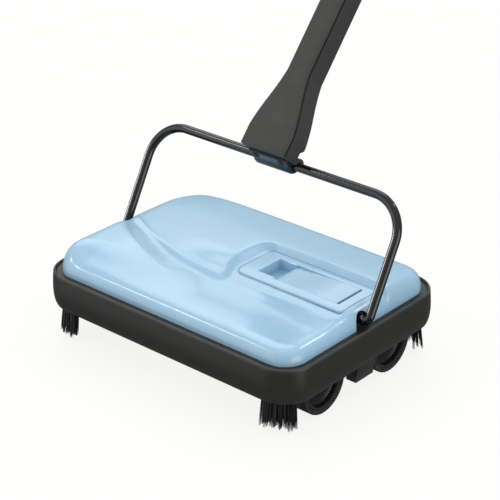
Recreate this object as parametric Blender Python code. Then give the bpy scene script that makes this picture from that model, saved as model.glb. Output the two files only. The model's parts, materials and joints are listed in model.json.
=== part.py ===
"""Carpet sweeper: low brush head on four wheels, wire bail and long push handle.

All dimensions are in millimetres; MM turns them into Blender's metres when a mesh is made.
Chassis frame: X along the head's long side, +Y towards the person pushing, Z up, floor at Z = 0.
Pole frame: Z up the handle from the bail's crossbar, +Y out of the handle's underside.
"""

import math

import bmesh
import bpy
from mathutils import Vector

MM = 0.001
GAP = 0.3            # clearance between pieces that touch
RUN = 0.07           # radial clearance of a turning fit

# Bumper: a drafted wall with a ledge turned in at its top.
BUMPER_HALF_X = 145.0
BUMPER_HALF_Y = 106.0
BUMPER_RADIUS = 30.5
BUMPER_TOP = 64.2
BUMPER_BOTTOM = 30.2
BUMPER_DRAFT = 4.0
BUMPER_WALL = 3.0
LEDGE_TOP = 62.0
LEDGE_UNDERSIDE = 59.5
LEDGE_INSET = 14.5

# Cover: one blue shell with a low front, a step, and a raised back.
COVER_INSET = 9.3
COVER_BASE = LEDGE_TOP + GAP
COVER_SKIN = 2.2
COVER_LOW = 75.5         # front
COVER_BAND = 77.2        # strip in front of the release panel
COVER_SIDE = 79.0        # beside and behind the panel
COVER_HIGH = 84.6        # raised back
COVER_CROWN = 0.8
COVER_SWELL = 11.0       # rise of the front towards its left end
COVER_VALLEY = 3.2       # dip of the front before the step
COVER_FALL = 6.0         # drop of the raised part at the back edge
COVER_CORNER_FALL = 6.0  # and at the back-left corner
COVER_TIP_FALL = 4.0     # and at its tip beside the panel's front
COVER_EDGE_ROUND = 14.0
COVER_EDGE_POWER = 2.4
STEP_WIDTH = 6.5
POCKET_FOOT = (7.4, 35.0)     # left and rear sides of the slope round the panel
POCKET_TOP = (-7.0, 38.6)
NOTCH_HALF = 9.2
NOTCH_CENTRE_Z = 67.1

# Release panel in the cover's top.
PLATE_X = (8.0, 124.0)
PLATE_Y = (-16.0, 34.5)
PLATE_TOP = 80.0
PLATE_THICK = 2.0
PLATE_CLEARANCE = 0.4
POST_SPOTS = [(14.0, -9.0), (14.0, 28.0), (119.0, -12.6), (119.0, 29.0)]
WELL_X = (24.5, 43.6)
WELL_Y = (-4.0, 26.0)
WELL_FLOOR = 70.0
PADDLE_X = (44.2, 112.3)
PADDLE_Y = (-6.5, 26.5)
PADDLE_DIP = 2.0
PADDLE_HINGE = (110.5, 76.0)
SLOT_END_X = 115.0
HINGE_PIN_RADIUS = 1.2
YOKE_X = (56.0, 64.0)
YOKE_TOP = 72.0
YOKE_UNDERSIDE = 67.5
YOKE_LEG = (79.5, 83.5)

# Running gear.
WHEEL_RADIUS = 26.6
WHEEL_Y = 45.6
WHEEL_X = (108.5, 133.0)
TYRE_DEPTH = 4.2
AXLE_RADIUS = 3.0
BRUSH_HEIGHT = 26.0
BRUSH_RADIUS = 24.0
BRUSH_HALF = 99.0
CORE_RADIUS = 9.0
SHAFT_RADIUS = 5.0
DRUM_RADIUS = 18.7
DRUM_X = (107.8, 118.0)
END_PLATE_X = (103.2, 105.2)
LUG_X = (128.5, 141.2)
LUG_HALF_Y = 12.0
LUG_BOTTOM = 15.5
LUG_TAPER = 1.9
BUSH_RADIUS = 6.0
DECK = (57.6, 59.2)
DECK_INSET = 8.0
SCREW_SPOTS = [(sx * 96.0, sy * 94.6) for sx in (-1, 1) for sy in (-1, 1)]
SCREW_HOLE = 1.8
CORNER_BRUSH = (14.0, 22.0)      # inner and outer radius of the row
CORNER_BRUSH_ANGLE = 68.0        # turned from the long side, where a straight start leads in
CORNER_BRUSH_START = 6.0
CORNER_BRUSH_TIP = 0.0
CORNER_BRUSH_SPLAY = (2.5, 5.0)  # how far the inner and outer tips lean out
BRACKET_X = (116.0, 130.2)
COWL_RADIUS = 31.2
COWL_SKIN = 1.5

# Dust pans.
PAN_HINGE_Y = 95.5
PAN_HINGE_Z = 38.0
PAN_HALF_X = 101.3
PAN_SKIN = 1.4
ROD_RADIUS = 1.5
KNUCKLE_RADIUS = 3.0
KNUCKLE_HALF = 5.0
FAR_KNUCKLE_X = 80.0
TAB_TOP = PAN_HINGE_Z + 2.2

# Bail and handle.
PIVOT_Y = 0.5
PIVOT_Z = 69.2
BAIL_HALF_X = 140.6
BAIL_REACH = 102.5
BAIL_LEAN = math.radians(28.5)
BAIL_BEND = 33.3
WIRE_RADIUS = 4.0
POLE_LEAN = math.radians(40.0)
SOCKET_DEPTH = 27.0
SOCKET_TOP = 190.0
SLEEVE_RADIUS = 7.5
SLEEVE_HALF = 24.3
STEM_HALF = 11.6
FLARE = (18.0, 74.0)      # heights between which the foot narrows to the stem
CLIP_HALF = 21.0
CLIP_SCREWS = (-14.0, 14.0)
CLIP_SCREW_Y = -12.0
TUBE_RADIUS = 9.5
TUBE_WALL = 0.8
TUBE_LENGTH = 245.0
TUBE_START = 160.5
TUBE_COUNT = 3
COUPLER_LENGTH = 24.0
GRIP_LENGTH = 118.0
LOOP_RADIUS = 12.0
LOOP_HALF_THICK = 4.0

POLE_AXIS_Y = -SOCKET_DEPTH / 2
TUBE_END = TUBE_START + TUBE_COUNT * (TUBE_LENGTH + GAP) - GAP
GRIP_START = TUBE_END - GRIP_LENGTH + 6.0
LOOP_CENTRE = TUBE_END + 18.0
BAR_Y = PIVOT_Y + BAIL_REACH * math.sin(BAIL_LEAN)
BAR_Z = PIVOT_Z + BAIL_REACH * math.cos(BAIL_LEAN)


def handle_reach():
    """Furthest +Y of the resting handle, in the chassis frame."""
    back = POLE_AXIS_Y + LOOP_HALF_THICK
    return BAR_Y + (LOOP_CENTRE + LOOP_RADIUS) * math.sin(POLE_LEAN) + back * math.cos(POLE_LEAN)


# The whole object, handle included, is centred over the origin.
CHASSIS_Y = (BUMPER_HALF_Y - handle_reach()) / 2

COLOURS = {
    "cover_blue": ((0.38, 0.60, 0.80), 0.25, 0.0),
    "bumper_black": ((0.045, 0.045, 0.047), 0.45, 0.0),
    "handle_black": ((0.07, 0.072, 0.068), 0.55, 0.0),
    "wire_black": ((0.02, 0.02, 0.02), 0.2, 0.0),
    "frame_steel": ((0.10, 0.10, 0.11), 0.5, 0.6),
    "bright_steel": ((0.6, 0.6, 0.62), 0.25, 1.0),
    "pole_black": ((0.05, 0.05, 0.052), 0.35, 0.8),
    "bristle_black": ((0.02, 0.02, 0.02), 0.6, 0.0),
    "tyre_rubber": ((0.03, 0.03, 0.03), 0.75, 0.0),
    "pan_grey": ((0.08, 0.08, 0.085), 0.5, 0.0),
}


# ---------------------------------------------------------------- scene and materials

def clear_scene():
    for obj in list(bpy.data.objects):
        bpy.data.objects.remove(obj, do_unlink=True)


def make_materials():
    made = {}
    for name, (colour, roughness, metallic) in COLOURS.items():
        material = bpy.data.materials.new(name)
        material.use_nodes = True
        shader = material.node_tree.nodes["Principled BSDF"]
        shader.inputs["Base Color"].default_value = (*colour, 1.0)
        shader.inputs["Roughness"].default_value = roughness
        shader.inputs["Metallic"].default_value = metallic
        made[name] = material
    return made


def make_empty(name, location, parent=None, rotation=(0.0, 0.0, 0.0)):
    """An axis or frame to hang pieces on; location in millimetres in the parent's frame."""
    empty = bpy.data.objects.new(name, None)
    bpy.context.collection.objects.link(empty)
    empty.parent = parent
    empty.location = Vector(location) * MM
    empty.rotation_euler = rotation
    return empty


def make_object(name, bm, material, parent, location=(0, 0, 0), rotation=(0, 0, 0)):
    bmesh.ops.recalc_face_normals(bm, faces=bm.faces)
    mesh = bpy.data.meshes.new(name)
    bm.to_mesh(mesh)
    bm.free()
    mesh.shade_smooth()
    mesh.set_sharp_from_angle(angle=math.radians(35))
    mesh.materials.append(MATERIALS[material])
    obj = bpy.data.objects.new(name, mesh)
    bpy.context.collection.objects.link(obj)
    obj.parent = parent
    obj.location = Vector(location) * MM
    obj.rotation_euler = rotation
    return obj


def combine(obj, bm, operation, location=(0, 0, 0), rotation=(0, 0, 0)):
    """Add to or cut from obj a tool shape placed in the frame of obj's parent, and keep the result."""
    tool = make_object("tool", bm, "frame_steel", obj.parent, location, rotation)
    modifier = obj.modifiers.new("combine", "BOOLEAN")
    modifier.object = tool
    modifier.operation = operation
    modifier.solver = "MANIFOLD"
    bpy.context.view_layer.update()
    evaluated = obj.evaluated_get(bpy.context.evaluated_depsgraph_get())
    mesh = bpy.data.meshes.new_from_object(evaluated)
    obj.modifiers.clear()
    obj.data = mesh
    tool_mesh = tool.data
    bpy.data.objects.remove(tool)
    bpy.data.meshes.remove(tool_mesh)


def cut(obj, bm, location=(0, 0, 0), rotation=(0, 0, 0)):
    combine(obj, bm, "DIFFERENCE", location, rotation)


def join(obj, bm, location=(0, 0, 0), rotation=(0, 0, 0)):
    combine(obj, bm, "UNION", location, rotation)


# ---------------------------------------------------------------- shape helpers

def loft(loops, ring=False):
    """Skin between loops of equal length, capped at both ends, or closed on itself as a ring."""
    bm = bmesh.new()
    rows = [[bm.verts.new(Vector(point) * MM) for point in loop] for loop in loops]
    pairs = list(zip(rows, rows[1:]))
    if ring:
        pairs.append((rows[-1], rows[0]))
    else:
        bm.faces.new(rows[0][::-1])
        bm.faces.new(rows[-1])
    for near, far in pairs:
        for i in range(len(near)):
            j = (i + 1) % len(near)
            bm.faces.new((near[i], near[j], far[j], far[i]))
    bmesh.ops.recalc_face_normals(bm, faces=bm.faces)
    return bm


def circle(radius, z, count=24, start=0.0):
    """Points of a circle round Z; start is the first point's angle."""
    turn = 2 * math.pi / count
    return [(radius * math.cos(start + turn * i), radius * math.sin(start + turn * i), z)
            for i in range(count)]


def turned(profile, count=20, bored=False):
    """Solid turned round Z from (radius, z) pairs; a bored one has a closed profile off the axis."""
    return loft([circle(radius, z, count) for radius, z in profile], ring=bored)


def tube(outer, inner, low, high, count=20):
    return turned([(outer, low), (outer, high), (inner, high), (inner, low)], count, bored=True)


def rod(radius, low, high, count=16):
    return turned([(radius, low), (radius, high)], count)


def prism(outline, low, high):
    """Extrude an (x, y) outline along Z."""
    return loft([[(x, y, z) for x, y in outline] for z in (low, high)])


def slab(outline, low, high):
    """Extrude a (y, z) outline along X."""
    return loft([[(x, y, z) for y, z in outline] for x in (low, high)])


def box(x, y, z):
    return prism([(x[0], y[0]), (x[1], y[0]), (x[1], y[1]), (x[0], y[1])], z[0], z[1])


def arc(centre, radius, start, end, count):
    """Points (a, b) along an arc, angles in degrees."""
    points = []
    for i in range(count + 1):
        angle = math.radians(start + (end - start) * i / count)
        points.append((centre[0] + radius * math.cos(angle), centre[1] + radius * math.sin(angle)))
    return points


def rounded_rect(half_x, half_y, radius, corner=6, along_x=1, along_y=1):
    """Rounded rectangle as (x, y) points, its straight sides split into equal lengths."""
    points = []
    for quarter, (sx, sy) in enumerate(((1, 1), (-1, 1), (-1, -1), (1, -1))):
        centre = (sx * (half_x - radius), sy * (half_y - radius))
        bend = arc(centre, radius, 90 * quarter, 90 * quarter + 90, corner)
        points += bend
        end = bend[-1]
        splits = along_x if quarter % 2 == 0 else along_y
        following = (-end[0], end[1]) if quarter % 2 == 0 else (end[0], -end[1])
        for i in range(1, splits):
            share = i / splits
            points.append((end[0] + (following[0] - end[0]) * share,
                           end[1] + (following[1] - end[1]) * share))
    return points


def at_height(outline, z):
    return [(x, y, z) for x, y in outline]


def along_x_axis():
    """Rotation that lays a shape built along Z along X."""
    return (0.0, math.radians(90), 0.0)


# ---------------------------------------------------------------- head: bumper and cover

def make_bumper(chassis):
    """Wall and ledge ring with a bearing lug hanging from the middle of each end."""
    bulge = [(BUMPER_DRAFT, BUMPER_BOTTOM), (1.1, 36.0), (0.0, 46.5)]
    profile = bulge + [(0.5, 56.5), (0.9, BUMPER_TOP - 1.5), (1.4, BUMPER_TOP - 0.4),
                       (2.2, BUMPER_TOP), (3.2, BUMPER_TOP - 0.6), (4.0, LEDGE_TOP),
                       (LEDGE_INSET, LEDGE_TOP), (LEDGE_INSET, LEDGE_UNDERSIDE),
                       (BUMPER_WALL + 0.6, LEDGE_UNDERSIDE)]
    profile += [(inset + BUMPER_WALL, z) for inset, z in reversed(bulge)]
    loops = []
    for inset, z in profile:
        outline = rounded_rect(BUMPER_HALF_X - inset, BUMPER_HALF_Y - inset, BUMPER_RADIUS - inset, 6)
        loops.append(at_height(outline, z))
    bumper = make_object("bumper_skirt", loft(loops, ring=True), "bumper_black", chassis)
    for side in (-1, 1):
        tip = LUG_X[1] - LUG_TAPER
        low = [(side * LUG_X[0], -LUG_HALF_Y), (side * tip, -LUG_HALF_Y),
               (side * tip, LUG_HALF_Y), (side * LUG_X[0], LUG_HALF_Y)]
        high = [(side * LUG_X[0], -LUG_HALF_Y), (side * LUG_X[1], -LUG_HALF_Y),
                (side * LUG_X[1], LUG_HALF_Y), (side * LUG_X[0], LUG_HALF_Y)]
        join(bumper, loft([at_height(low, LUG_BOTTOM), at_height(high, BUMPER_BOTTOM + 4.0)]))
    for side in (-1, 1):
        bore = rod(BUSH_RADIUS + GAP, side * (LUG_X[0] - 1.0), side * (LUG_X[0] + 8.5))
        cut(bumper, bore, (0, 0, BRUSH_HEIGHT), along_x_axis())
    for x, y in SCREW_SPOTS:
        cut(bumper, rod(SCREW_HOLE, LEDGE_UNDERSIDE - 1.0, LEDGE_TOP + 1.0, 12), (x, y, 0))


def edge_distance(x, y, half_x, half_y, radius):
    """How far a point is inside a rounded rectangle."""
    qx = abs(x) - half_x + radius
    qy = abs(y) - half_y + radius
    outside = math.hypot(max(qx, 0.0), max(qy, 0.0))
    return radius - outside - min(max(qx, qy), 0.0)


def smooth(value):
    value = min(max(value, 0.0), 1.0)
    return value * value * (3 - 2 * value)


def step_line(x):
    """Y of the sweeping step between the low front and the raised back."""
    sweep = max(-35.0 - x, 0.0) / 90.0
    return -34.0 + 32.0 * sweep ** 1.38


def beyond_corner(x, y, left, back, radius):
    """How far a point is past a corner that is open to +X and -Y."""
    past_left = left + radius - x
    past_back = y - back + radius
    outside = math.hypot(max(past_left, 0.0), max(past_back, 0.0))
    return outside + min(max(past_left, past_back), 0.0) - radius


def pocket_slope(x, y):
    """Share of the climb from the panel's level to the raised back."""
    rim_left = POCKET_TOP[0] + 10.0 * smooth((-6.0 - y) / 22.0)
    foot_left = POCKET_FOOT[0] + 6.0 * smooth((-14.0 - y) / 16.0)
    from_foot = beyond_corner(x, y, foot_left, POCKET_FOOT[1], 4.0)
    to_top = -beyond_corner(x, y, rim_left, POCKET_TOP[1], 17.0)
    if from_foot <= 0.0:
        return 0.0
    if to_top <= 0.0:
        return 1.0
    return smooth(from_foot / (from_foot + to_top))


def cover_low(x, y):
    """Front of the cover, swelling towards its left end and dipping before the step."""
    front = -93.0 - 12.0 * smooth((-x - 100.0) / 30.0)
    swell = smooth((10.0 - x) / 110.0) * smooth((y - front) / 36.0)
    valley = smooth((-x - 20.0) / 60.0) * smooth(1.0 - abs(y - step_line(x) + 5.0) / 18.0)
    return COVER_LOW + COVER_SWELL * swell - COVER_VALLEY * valley


def cover_fall(x, y):
    """How far the raised part has dropped towards its back, back-left corner and front tip."""
    back = max((y - 40.0) / 56.7, 0.0)
    end = max((-x - 70.0) / 65.7, 0.0) * smooth((y - 20.0) / 70.0)
    tip = smooth((x + 60.0) / 60.0) * smooth((5.0 - y) / 30.0)
    return COVER_FALL * back ** 2 + COVER_CORNER_FALL * end ** 2, COVER_TIP_FALL * tip


def cover_top(x, y):
    """Height of the cover before its edge is rounded off."""
    width = STEP_WIDTH + 5.0 * smooth((x + 90.0) / 60.0) + 20.0 * smooth((x - 40.0) / 80.0)
    rise = smooth((y - step_line(x)) / width + 0.5)
    level = COVER_BAND + (COVER_SIDE - COVER_BAND) * smooth((y + 17.0) / 9.0)
    back_fall, tip_fall = cover_fall(x, y)
    level += (COVER_HIGH - tip_fall - level) * pocket_slope(x, y)
    low = cover_low(x, y)
    crown = COVER_CROWN * (1.0 - (x / BUMPER_HALF_X) ** 2)
    return low + crown + (level - low) * rise - back_fall


def cover_surface(x, y, half_x, half_y, radius, drop):
    """Height of a cover skin, rounded down to the ledge at its edges."""
    inset = max(edge_distance(x, y, half_x, half_y, radius), 0.0)
    share = max(1.0 - inset / COVER_EDGE_ROUND, 0.0)
    rounding = (1.0 - share ** COVER_EDGE_POWER) ** (1.0 / COVER_EDGE_POWER)
    return COVER_BASE + (cover_top(x, y) - drop - COVER_BASE) * rounding


def spaced(half, offsets, middle):
    """Positions from -half to half: close together at the ends, then evenly across the middle."""
    ends = [half - offset for offset in offsets]
    inner = ends[-1]
    centre = [inner - 2 * inner * i / middle for i in range(1, middle)]
    return [-x for x in ends] + [-x for x in centre] + [x for x in reversed(ends)]


def cover_skin(inset, drop):
    """Columns of points over one skin; the first and last of each row and column are its edge."""
    half_x = BUMPER_HALF_X - COVER_INSET - inset
    half_y = BUMPER_HALF_Y - COVER_INSET - inset
    radius = BUMPER_RADIUS - COVER_INSET - inset
    columns = []
    for x in spaced(half_x, (0.0, 0.9, 3.2, 8.0, 15.0), 22):
        past = max(abs(x) - half_x + radius, 0.0)
        reach = half_y - radius + math.sqrt(max(radius * radius - past * past, 0.0))
        column = []
        for share in spaced(1.0, (0.0, 0.01, 0.035, 0.08, 0.15), 14):
            y = share * reach
            column.append((x, y, cover_surface(x, y, half_x, half_y, radius, drop)))
        columns.append(column)
    return columns


def border(columns):
    """Edge points of a grid, once round."""
    loop = columns[0][:-1] + [column[-1] for column in columns[:-1]]
    loop += columns[-1][:0:-1] + [column[0] for column in columns[:0:-1]]
    return loop


def shell(outside, inside):
    """Two grids of points joined round their edges."""
    bm = bmesh.new()
    grids = []
    for columns in (outside, inside):
        verts = [[bm.verts.new(Vector(point) * MM) for point in column] for column in columns]
        for left, right in zip(verts, verts[1:]):
            for j in range(len(left) - 1):
                bm.faces.new((left[j], right[j], right[j + 1], left[j + 1]))
        grids.append(verts)
    edges = [border(verts) for verts in grids]
    for i in range(len(edges[0])):
        j = (i + 1) % len(edges[0])
        bm.faces.new((edges[0][i], edges[0][j], edges[1][j], edges[1][i]))
    return bm


def make_cover(chassis):
    """Domed shell, open below, with the panel opening and a notch over each bail pivot."""
    skins = shell(cover_skin(0.0, 0.0), cover_skin(COVER_SKIN, COVER_SKIN))
    cover = make_object("top_cover", skins, "cover_blue", chassis)
    opening = plate_outline(PLATE_CLEARANCE)
    cut(cover, prism(opening, 70.0, 90.0))
    arch = [(-NOTCH_HALF, COVER_BASE - 5.0), (NOTCH_HALF, COVER_BASE - 5.0)]
    arch += arc((0, NOTCH_CENTRE_Z), NOTCH_HALF, 0, 180, 9)
    for side in (-1, 1):
        cut(cover, slab(arch, side * 113.0, side * 143.0), (0, PIVOT_Y, 0))


# ---------------------------------------------------------------- release panel

def plate_outline(grow):
    """Outline of the panel surround, with its front left corner well rounded."""
    x0, x1 = PLATE_X[0] - grow, PLATE_X[1] + grow
    y0, y1 = PLATE_Y[0] - grow, PLATE_Y[1] + grow
    points = arc((x0 + 9.0, y0 + 9.0), 9.0, 180, 270, 5)
    points += arc((x1 - 4.0, y0 + 4.0), 4.0, 270, 360, 3)
    points += arc((x1 - 4.0, y1 - 4.0), 4.0, 0, 90, 3)
    points += arc((x0 + 4.0, y1 - 4.0), 4.0, 90, 180, 3)
    return points


def make_surround(chassis):
    """Fixed plate round the release paddle, with the finger well and four posts."""
    low = PLATE_TOP - PLATE_THICK
    plate = make_object("panel_surround", prism(plate_outline(0.0), low, PLATE_TOP), "cover_blue",
                        chassis)
    wall = 1.2
    join(plate, box((WELL_X[0] - wall, WELL_X[1]), (WELL_Y[0] - wall, WELL_Y[1] + wall),
                    (WELL_FLOOR - wall, low + 0.5)))
    for x, y in POST_SPOTS:
        join(plate, rod(2.5, DECK[1] + GAP, low + 0.5), (x, y, 0))
    for y in (PADDLE_Y[0] - 2.9, PADDLE_Y[1] + 2.9):
        join(plate, box((107.0, 114.0), (y - 1.7, y + 1.7), (72.5, low + 0.5)))
    cut(plate, box((WELL_X[0], WELL_X[1] + 0.1), WELL_Y, (WELL_FLOOR, PLATE_TOP + 1.0)))
    cut(plate, box((WELL_X[1], SLOT_END_X), (PADDLE_Y[0] - 0.5, PADDLE_Y[1] + 0.5),
                   (low - 1.0, PLATE_TOP + 1.0)))
    hinge = rod(HINGE_PIN_RADIUS + RUN, PADDLE_Y[0] - 4.9, PADDLE_Y[1] + 4.9, 12)
    cut(plate, hinge, (PADDLE_HINGE[0], 0, PADDLE_HINGE[1]), (math.radians(-90), 0, 0))


def make_paddle(pivot):
    """Release paddle: a slightly dished plate with hinge pins and a push boss; origin on its hinge."""
    hx, hz = PADDLE_HINGE
    x0, x1 = PADDLE_X[0] - hx, PADDLE_X[1] - hx
    flush = 92.0 - hx
    top = PLATE_TOP - hz
    y0, y1 = PADDLE_Y
    outline = [(x0, top - PADDLE_DIP), (flush, top), (x1, top), (x1, top - PLATE_THICK),
               (flush, top - PLATE_THICK), (x0 + 1.3, top - PADDLE_DIP - PLATE_THICK),
               (x0 + 1.3, top - PADDLE_DIP - 5.0), (x0, top - PADDLE_DIP - 5.0)]
    bm = loft([[(x, y, z) for x, z in outline] for y in (y0, y1)])
    paddle = make_object("release_paddle", bm, "cover_blue", pivot)
    boss_x = (57.0 - hx, 63.0 - hx)
    join(paddle, box(boss_x, (4.0, 16.0), (YOKE_TOP + 0.8 - hz, top - PADDLE_DIP - 1.0)))
    join(paddle, box((-2.0, 1.2), (y0 + 0.4, y1 - 0.4), (-1.6, top - 1.0)))
    pin = rod(HINGE_PIN_RADIUS, y0 - 4.3, y1 + 4.3, 12)
    join(paddle, pin, rotation=(math.radians(-90), 0, 0))


def make_yoke(slide):
    """Beam under the cover with a leg over each pan's crank tab."""
    foot = TAB_TOP + 0.7
    inner, outer = YOKE_LEG
    outline = [(-outer, foot), (-inner, foot), (-inner, YOKE_UNDERSIDE), (inner, YOKE_UNDERSIDE),
               (inner, foot), (outer, foot), (outer, YOKE_TOP), (-outer, YOKE_TOP)]
    make_object("release_yoke", slab(outline, *YOKE_X), "pan_grey", slide)


# ---------------------------------------------------------------- chassis plates

def make_deck(chassis):
    """Flat plate under the cover that everything else is fixed to."""
    outline = rounded_rect(BUMPER_HALF_X - DECK_INSET, BUMPER_HALF_Y - DECK_INSET,
                           BUMPER_RADIUS - DECK_INSET, 5)
    deck = make_object("deck_plate", prism(outline, *DECK), "frame_steel", chassis)
    for side in (-1, 1):
        y = sorted((side * (YOKE_LEG[0] - 1.0), side * (YOKE_LEG[1] + 1.0)))
        cut(deck, box((YOKE_X[0] - 1.0, YOKE_X[1] + 1.0), y, (DECK[0] - 1.0, DECK[1] + 1.0)))
    for x, y in SCREW_SPOTS:
        cut(deck, rod(SCREW_HOLE, DECK[0] - 1.0, DECK[1] + 1.0, 12), (x, y, 0))


def end_plate_outline():
    slot = 11.5
    low = 17.0
    right = [(slot, low), (66.0, low), (80.0, 33.0), (98.6, 33.0), (98.6, DECK[0] - GAP)]
    left = [(-y, z) for y, z in reversed(right)]
    return right + left + arc((0, BRUSH_HEIGHT), slot, 180, 0, 10)


def make_end_plates(chassis):
    for name, side in (("end_plate_left", -1), ("end_plate_right", 1)):
        faces = [side * x for x in END_PLATE_X]
        plate = make_object(name, slab(end_plate_outline(), *faces), "frame_steel", chassis)
        reach = [side * (END_PLATE_X[0] - 1.0), side * (END_PLATE_X[1] + 1.0)]
        for sign in (-1, 1):
            cut(plate, rod(AXLE_RADIUS + GAP, *reach, 16), (0, sign * WHEEL_Y, WHEEL_RADIUS),
                along_x_axis())
            cut(plate, rod(ROD_RADIUS + GAP, *reach, 12), (0, sign * PAN_HINGE_Y, PAN_HINGE_Z),
                along_x_axis())


def make_cowl(chassis):
    """Arched cover over the brush that throws the dust down into the pans."""
    inner = COWL_RADIUS - COWL_SKIN
    outline = arc((0, BRUSH_HEIGHT), COWL_RADIUS, 15, 165, 14)
    outline += arc((0, BRUSH_HEIGHT), inner, 165, 15, 14)
    make_object("brush_cowl", slab(outline, -101.5, 101.5), "frame_steel", chassis)


def make_bail_brackets(chassis):
    """Arched blocks on the deck that carry the bail's turned-in ends."""
    arch = [(-8.0, DECK[1] + GAP), (8.0, DECK[1] + GAP)] + arc((0, 67.5), 8.0, 0, 180, 10)
    for name, side in (("bail_bracket_left", -1), ("bail_bracket_right", 1)):
        bracket = make_object(name, slab(arch, *(side * x for x in BRACKET_X)), "bumper_black",
                              chassis, (0, PIVOT_Y, 0))
        bore = rod(WIRE_RADIUS + RUN, side * 120.5, side * 132.0, 24)
        cut(bracket, bore, (0, PIVOT_Y, PIVOT_Z), along_x_axis())


def make_corner_brushes(chassis):
    """Curved rows of bristle hanging inside each rounded corner."""
    centre_x = BUMPER_HALF_X - BUMPER_RADIUS
    centre_y = BUMPER_HALF_Y - BUMPER_RADIUS
    names = {(-1, -1): "corner_brush_front_left", (1, -1): "corner_brush_front_right",
             (-1, 1): "corner_brush_rear_left", (1, 1): "corner_brush_rear_right"}
    free = BUMPER_BOTTOM + 0.8
    for (sx, sy), name in names.items():
        loops = []
        for z, splay in ((CORNER_BRUSH_TIP, CORNER_BRUSH_SPLAY), (free, (0.0, 0.0)), (DECK[0] - GAP, (0.0, 0.0))):
            inner, outer = (radius + lean for radius, lean in zip(CORNER_BRUSH, splay))
            row = [(-CORNER_BRUSH_START, -outer)]
            row += arc((0, 0), outer, -90, CORNER_BRUSH_ANGLE - 90, 8)
            row += arc((0, 0), inner, CORNER_BRUSH_ANGLE - 90, -90, 8)
            row += [(-CORNER_BRUSH_START, -inner)]
            loops.append(at_height([(sx * x, -sy * y) for x, y in row], z))
        make_object(name, loft(loops), "bristle_black", chassis, (sx * centre_x, sy * centre_y, 0))


def screw(head_radius, head, shank_radius, shank):
    """Pan-head screw pointing up Z, the head's underside at Z = 0."""
    return turned([(head_radius * 0.8, -head), (head_radius, -head * 0.5), (head_radius, 0.0),
                   (shank_radius, 0.0), (shank_radius, shank)], 12)


def make_deck_screws(chassis):
    for number, (x, y) in enumerate(SCREW_SPOTS, 1):
        make_object(f"deck_screw_{number}", screw(3.3, 2.0, 1.5, 4.4), "bright_steel", chassis,
                    (x, y, DECK[0] - GAP))


# ---------------------------------------------------------------- wheels

def make_wheels(chassis):
    """Four free wheels, each a dished hub and a rubber tyre on a stub axle."""
    low, high = WHEEL_X
    rim = WHEEL_RADIUS - TYRE_DEPTH
    bore = AXLE_RADIUS + RUN
    hub_profile = [(bore, low + 0.5), (8.0, low + 0.5), (10.0, low + 6.0), (rim - 2.5, low + 6.0),
                   (rim - 0.8, low + 0.5), (rim - GAP, low + 0.5), (rim - GAP, high - 0.4),
                   (rim - 1.0, high - 0.4), (rim - 3.0, high - 5.0), (10.0, high - 7.0),
                   (7.5, high - 3.5), (bore, high - 3.5)]
    tyre_profile = [(rim, low), (WHEEL_RADIUS - 1.0, low), (WHEEL_RADIUS, low + 1.5),
                    (WHEEL_RADIUS, high - 1.2), (WHEEL_RADIUS - 1.2, high), (rim, high)]
    for end, side in (("left", -1), ("right", 1)):
        for place, sign in (("front", -1), ("rear", 1)):
            name = f"{place}_{end}"
            centre = (0, sign * WHEEL_Y, WHEEL_RADIUS)
            make_object(f"wheel_axle_{name}", axle(), "bright_steel", chassis, centre,
                        (0, side * math.radians(90), 0))
            spin = make_empty(f"wheel_{name}_axis", centre, chassis, (0, side * math.radians(90), 0))
            make_object(f"wheel_hub_{name}", turned(hub_profile, 24, True), "bumper_black", spin)
            make_object(f"wheel_tyre_{name}", turned(tyre_profile, 28, True), "tyre_rubber", spin)


def axle():
    """Stub axle: a head inside the end plate, a washer shoulder, and the journal."""
    inside = END_PLATE_X[0] - 1.6
    face = END_PLATE_X[0] - GAP
    shoulder = END_PLATE_X[1] + GAP
    return turned([(4.5, inside), (4.5, face), (AXLE_RADIUS, face), (AXLE_RADIUS, shoulder),
                   (5.0, shoulder), (5.0, WHEEL_X[0] + 0.2), (AXLE_RADIUS, WHEEL_X[0] + 0.2),
                   (AXLE_RADIUS, WHEEL_X[1] - 3.0)], 16)


# ---------------------------------------------------------------- brush roll

def make_brush(chassis):
    """Core with four twisted bristle strips, driven by the tyres through a drum at each end."""
    spin = make_empty("brush_axis", (0, 0, BRUSH_HEIGHT), chassis, along_x_axis())
    pin = AXLE_RADIUS
    end = 135.8
    step = DRUM_X[1] + 0.5
    profile = [(pin, -end), (pin, -step), (SHAFT_RADIUS, -step), (SHAFT_RADIUS, -101.0),
               (CORE_RADIUS, -101.0), (CORE_RADIUS, 101.0), (SHAFT_RADIUS, 101.0),
               (SHAFT_RADIUS, step), (pin, step), (pin, end)]
    make_object("brush_core", turned(profile, 24), "pan_grey", spin)
    for number in range(4):
        make_object(f"bristle_strip_{number + 1}", bristle_strip(number * math.pi / 2),
                    "bristle_black", spin)
    for name, side in (("drive_drum_left", -1), ("drive_drum_right", 1)):
        low, high = sorted(side * x for x in DRUM_X)
        make_object(name, tube(DRUM_RADIUS, SHAFT_RADIUS + GAP, low, high, 32), "tyre_rubber", spin)
    for name, side in (("brush_bush_left", -1), ("brush_bush_right", 1)):
        low, high = sorted((side * (LUG_X[0] + 0.2), side * (LUG_X[0] + 8.0)))
        make_object(name, tube(BUSH_RADIUS, pin + RUN, low, high), "pan_grey", chassis,
                    (0, 0, BRUSH_HEIGHT), along_x_axis())


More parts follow.
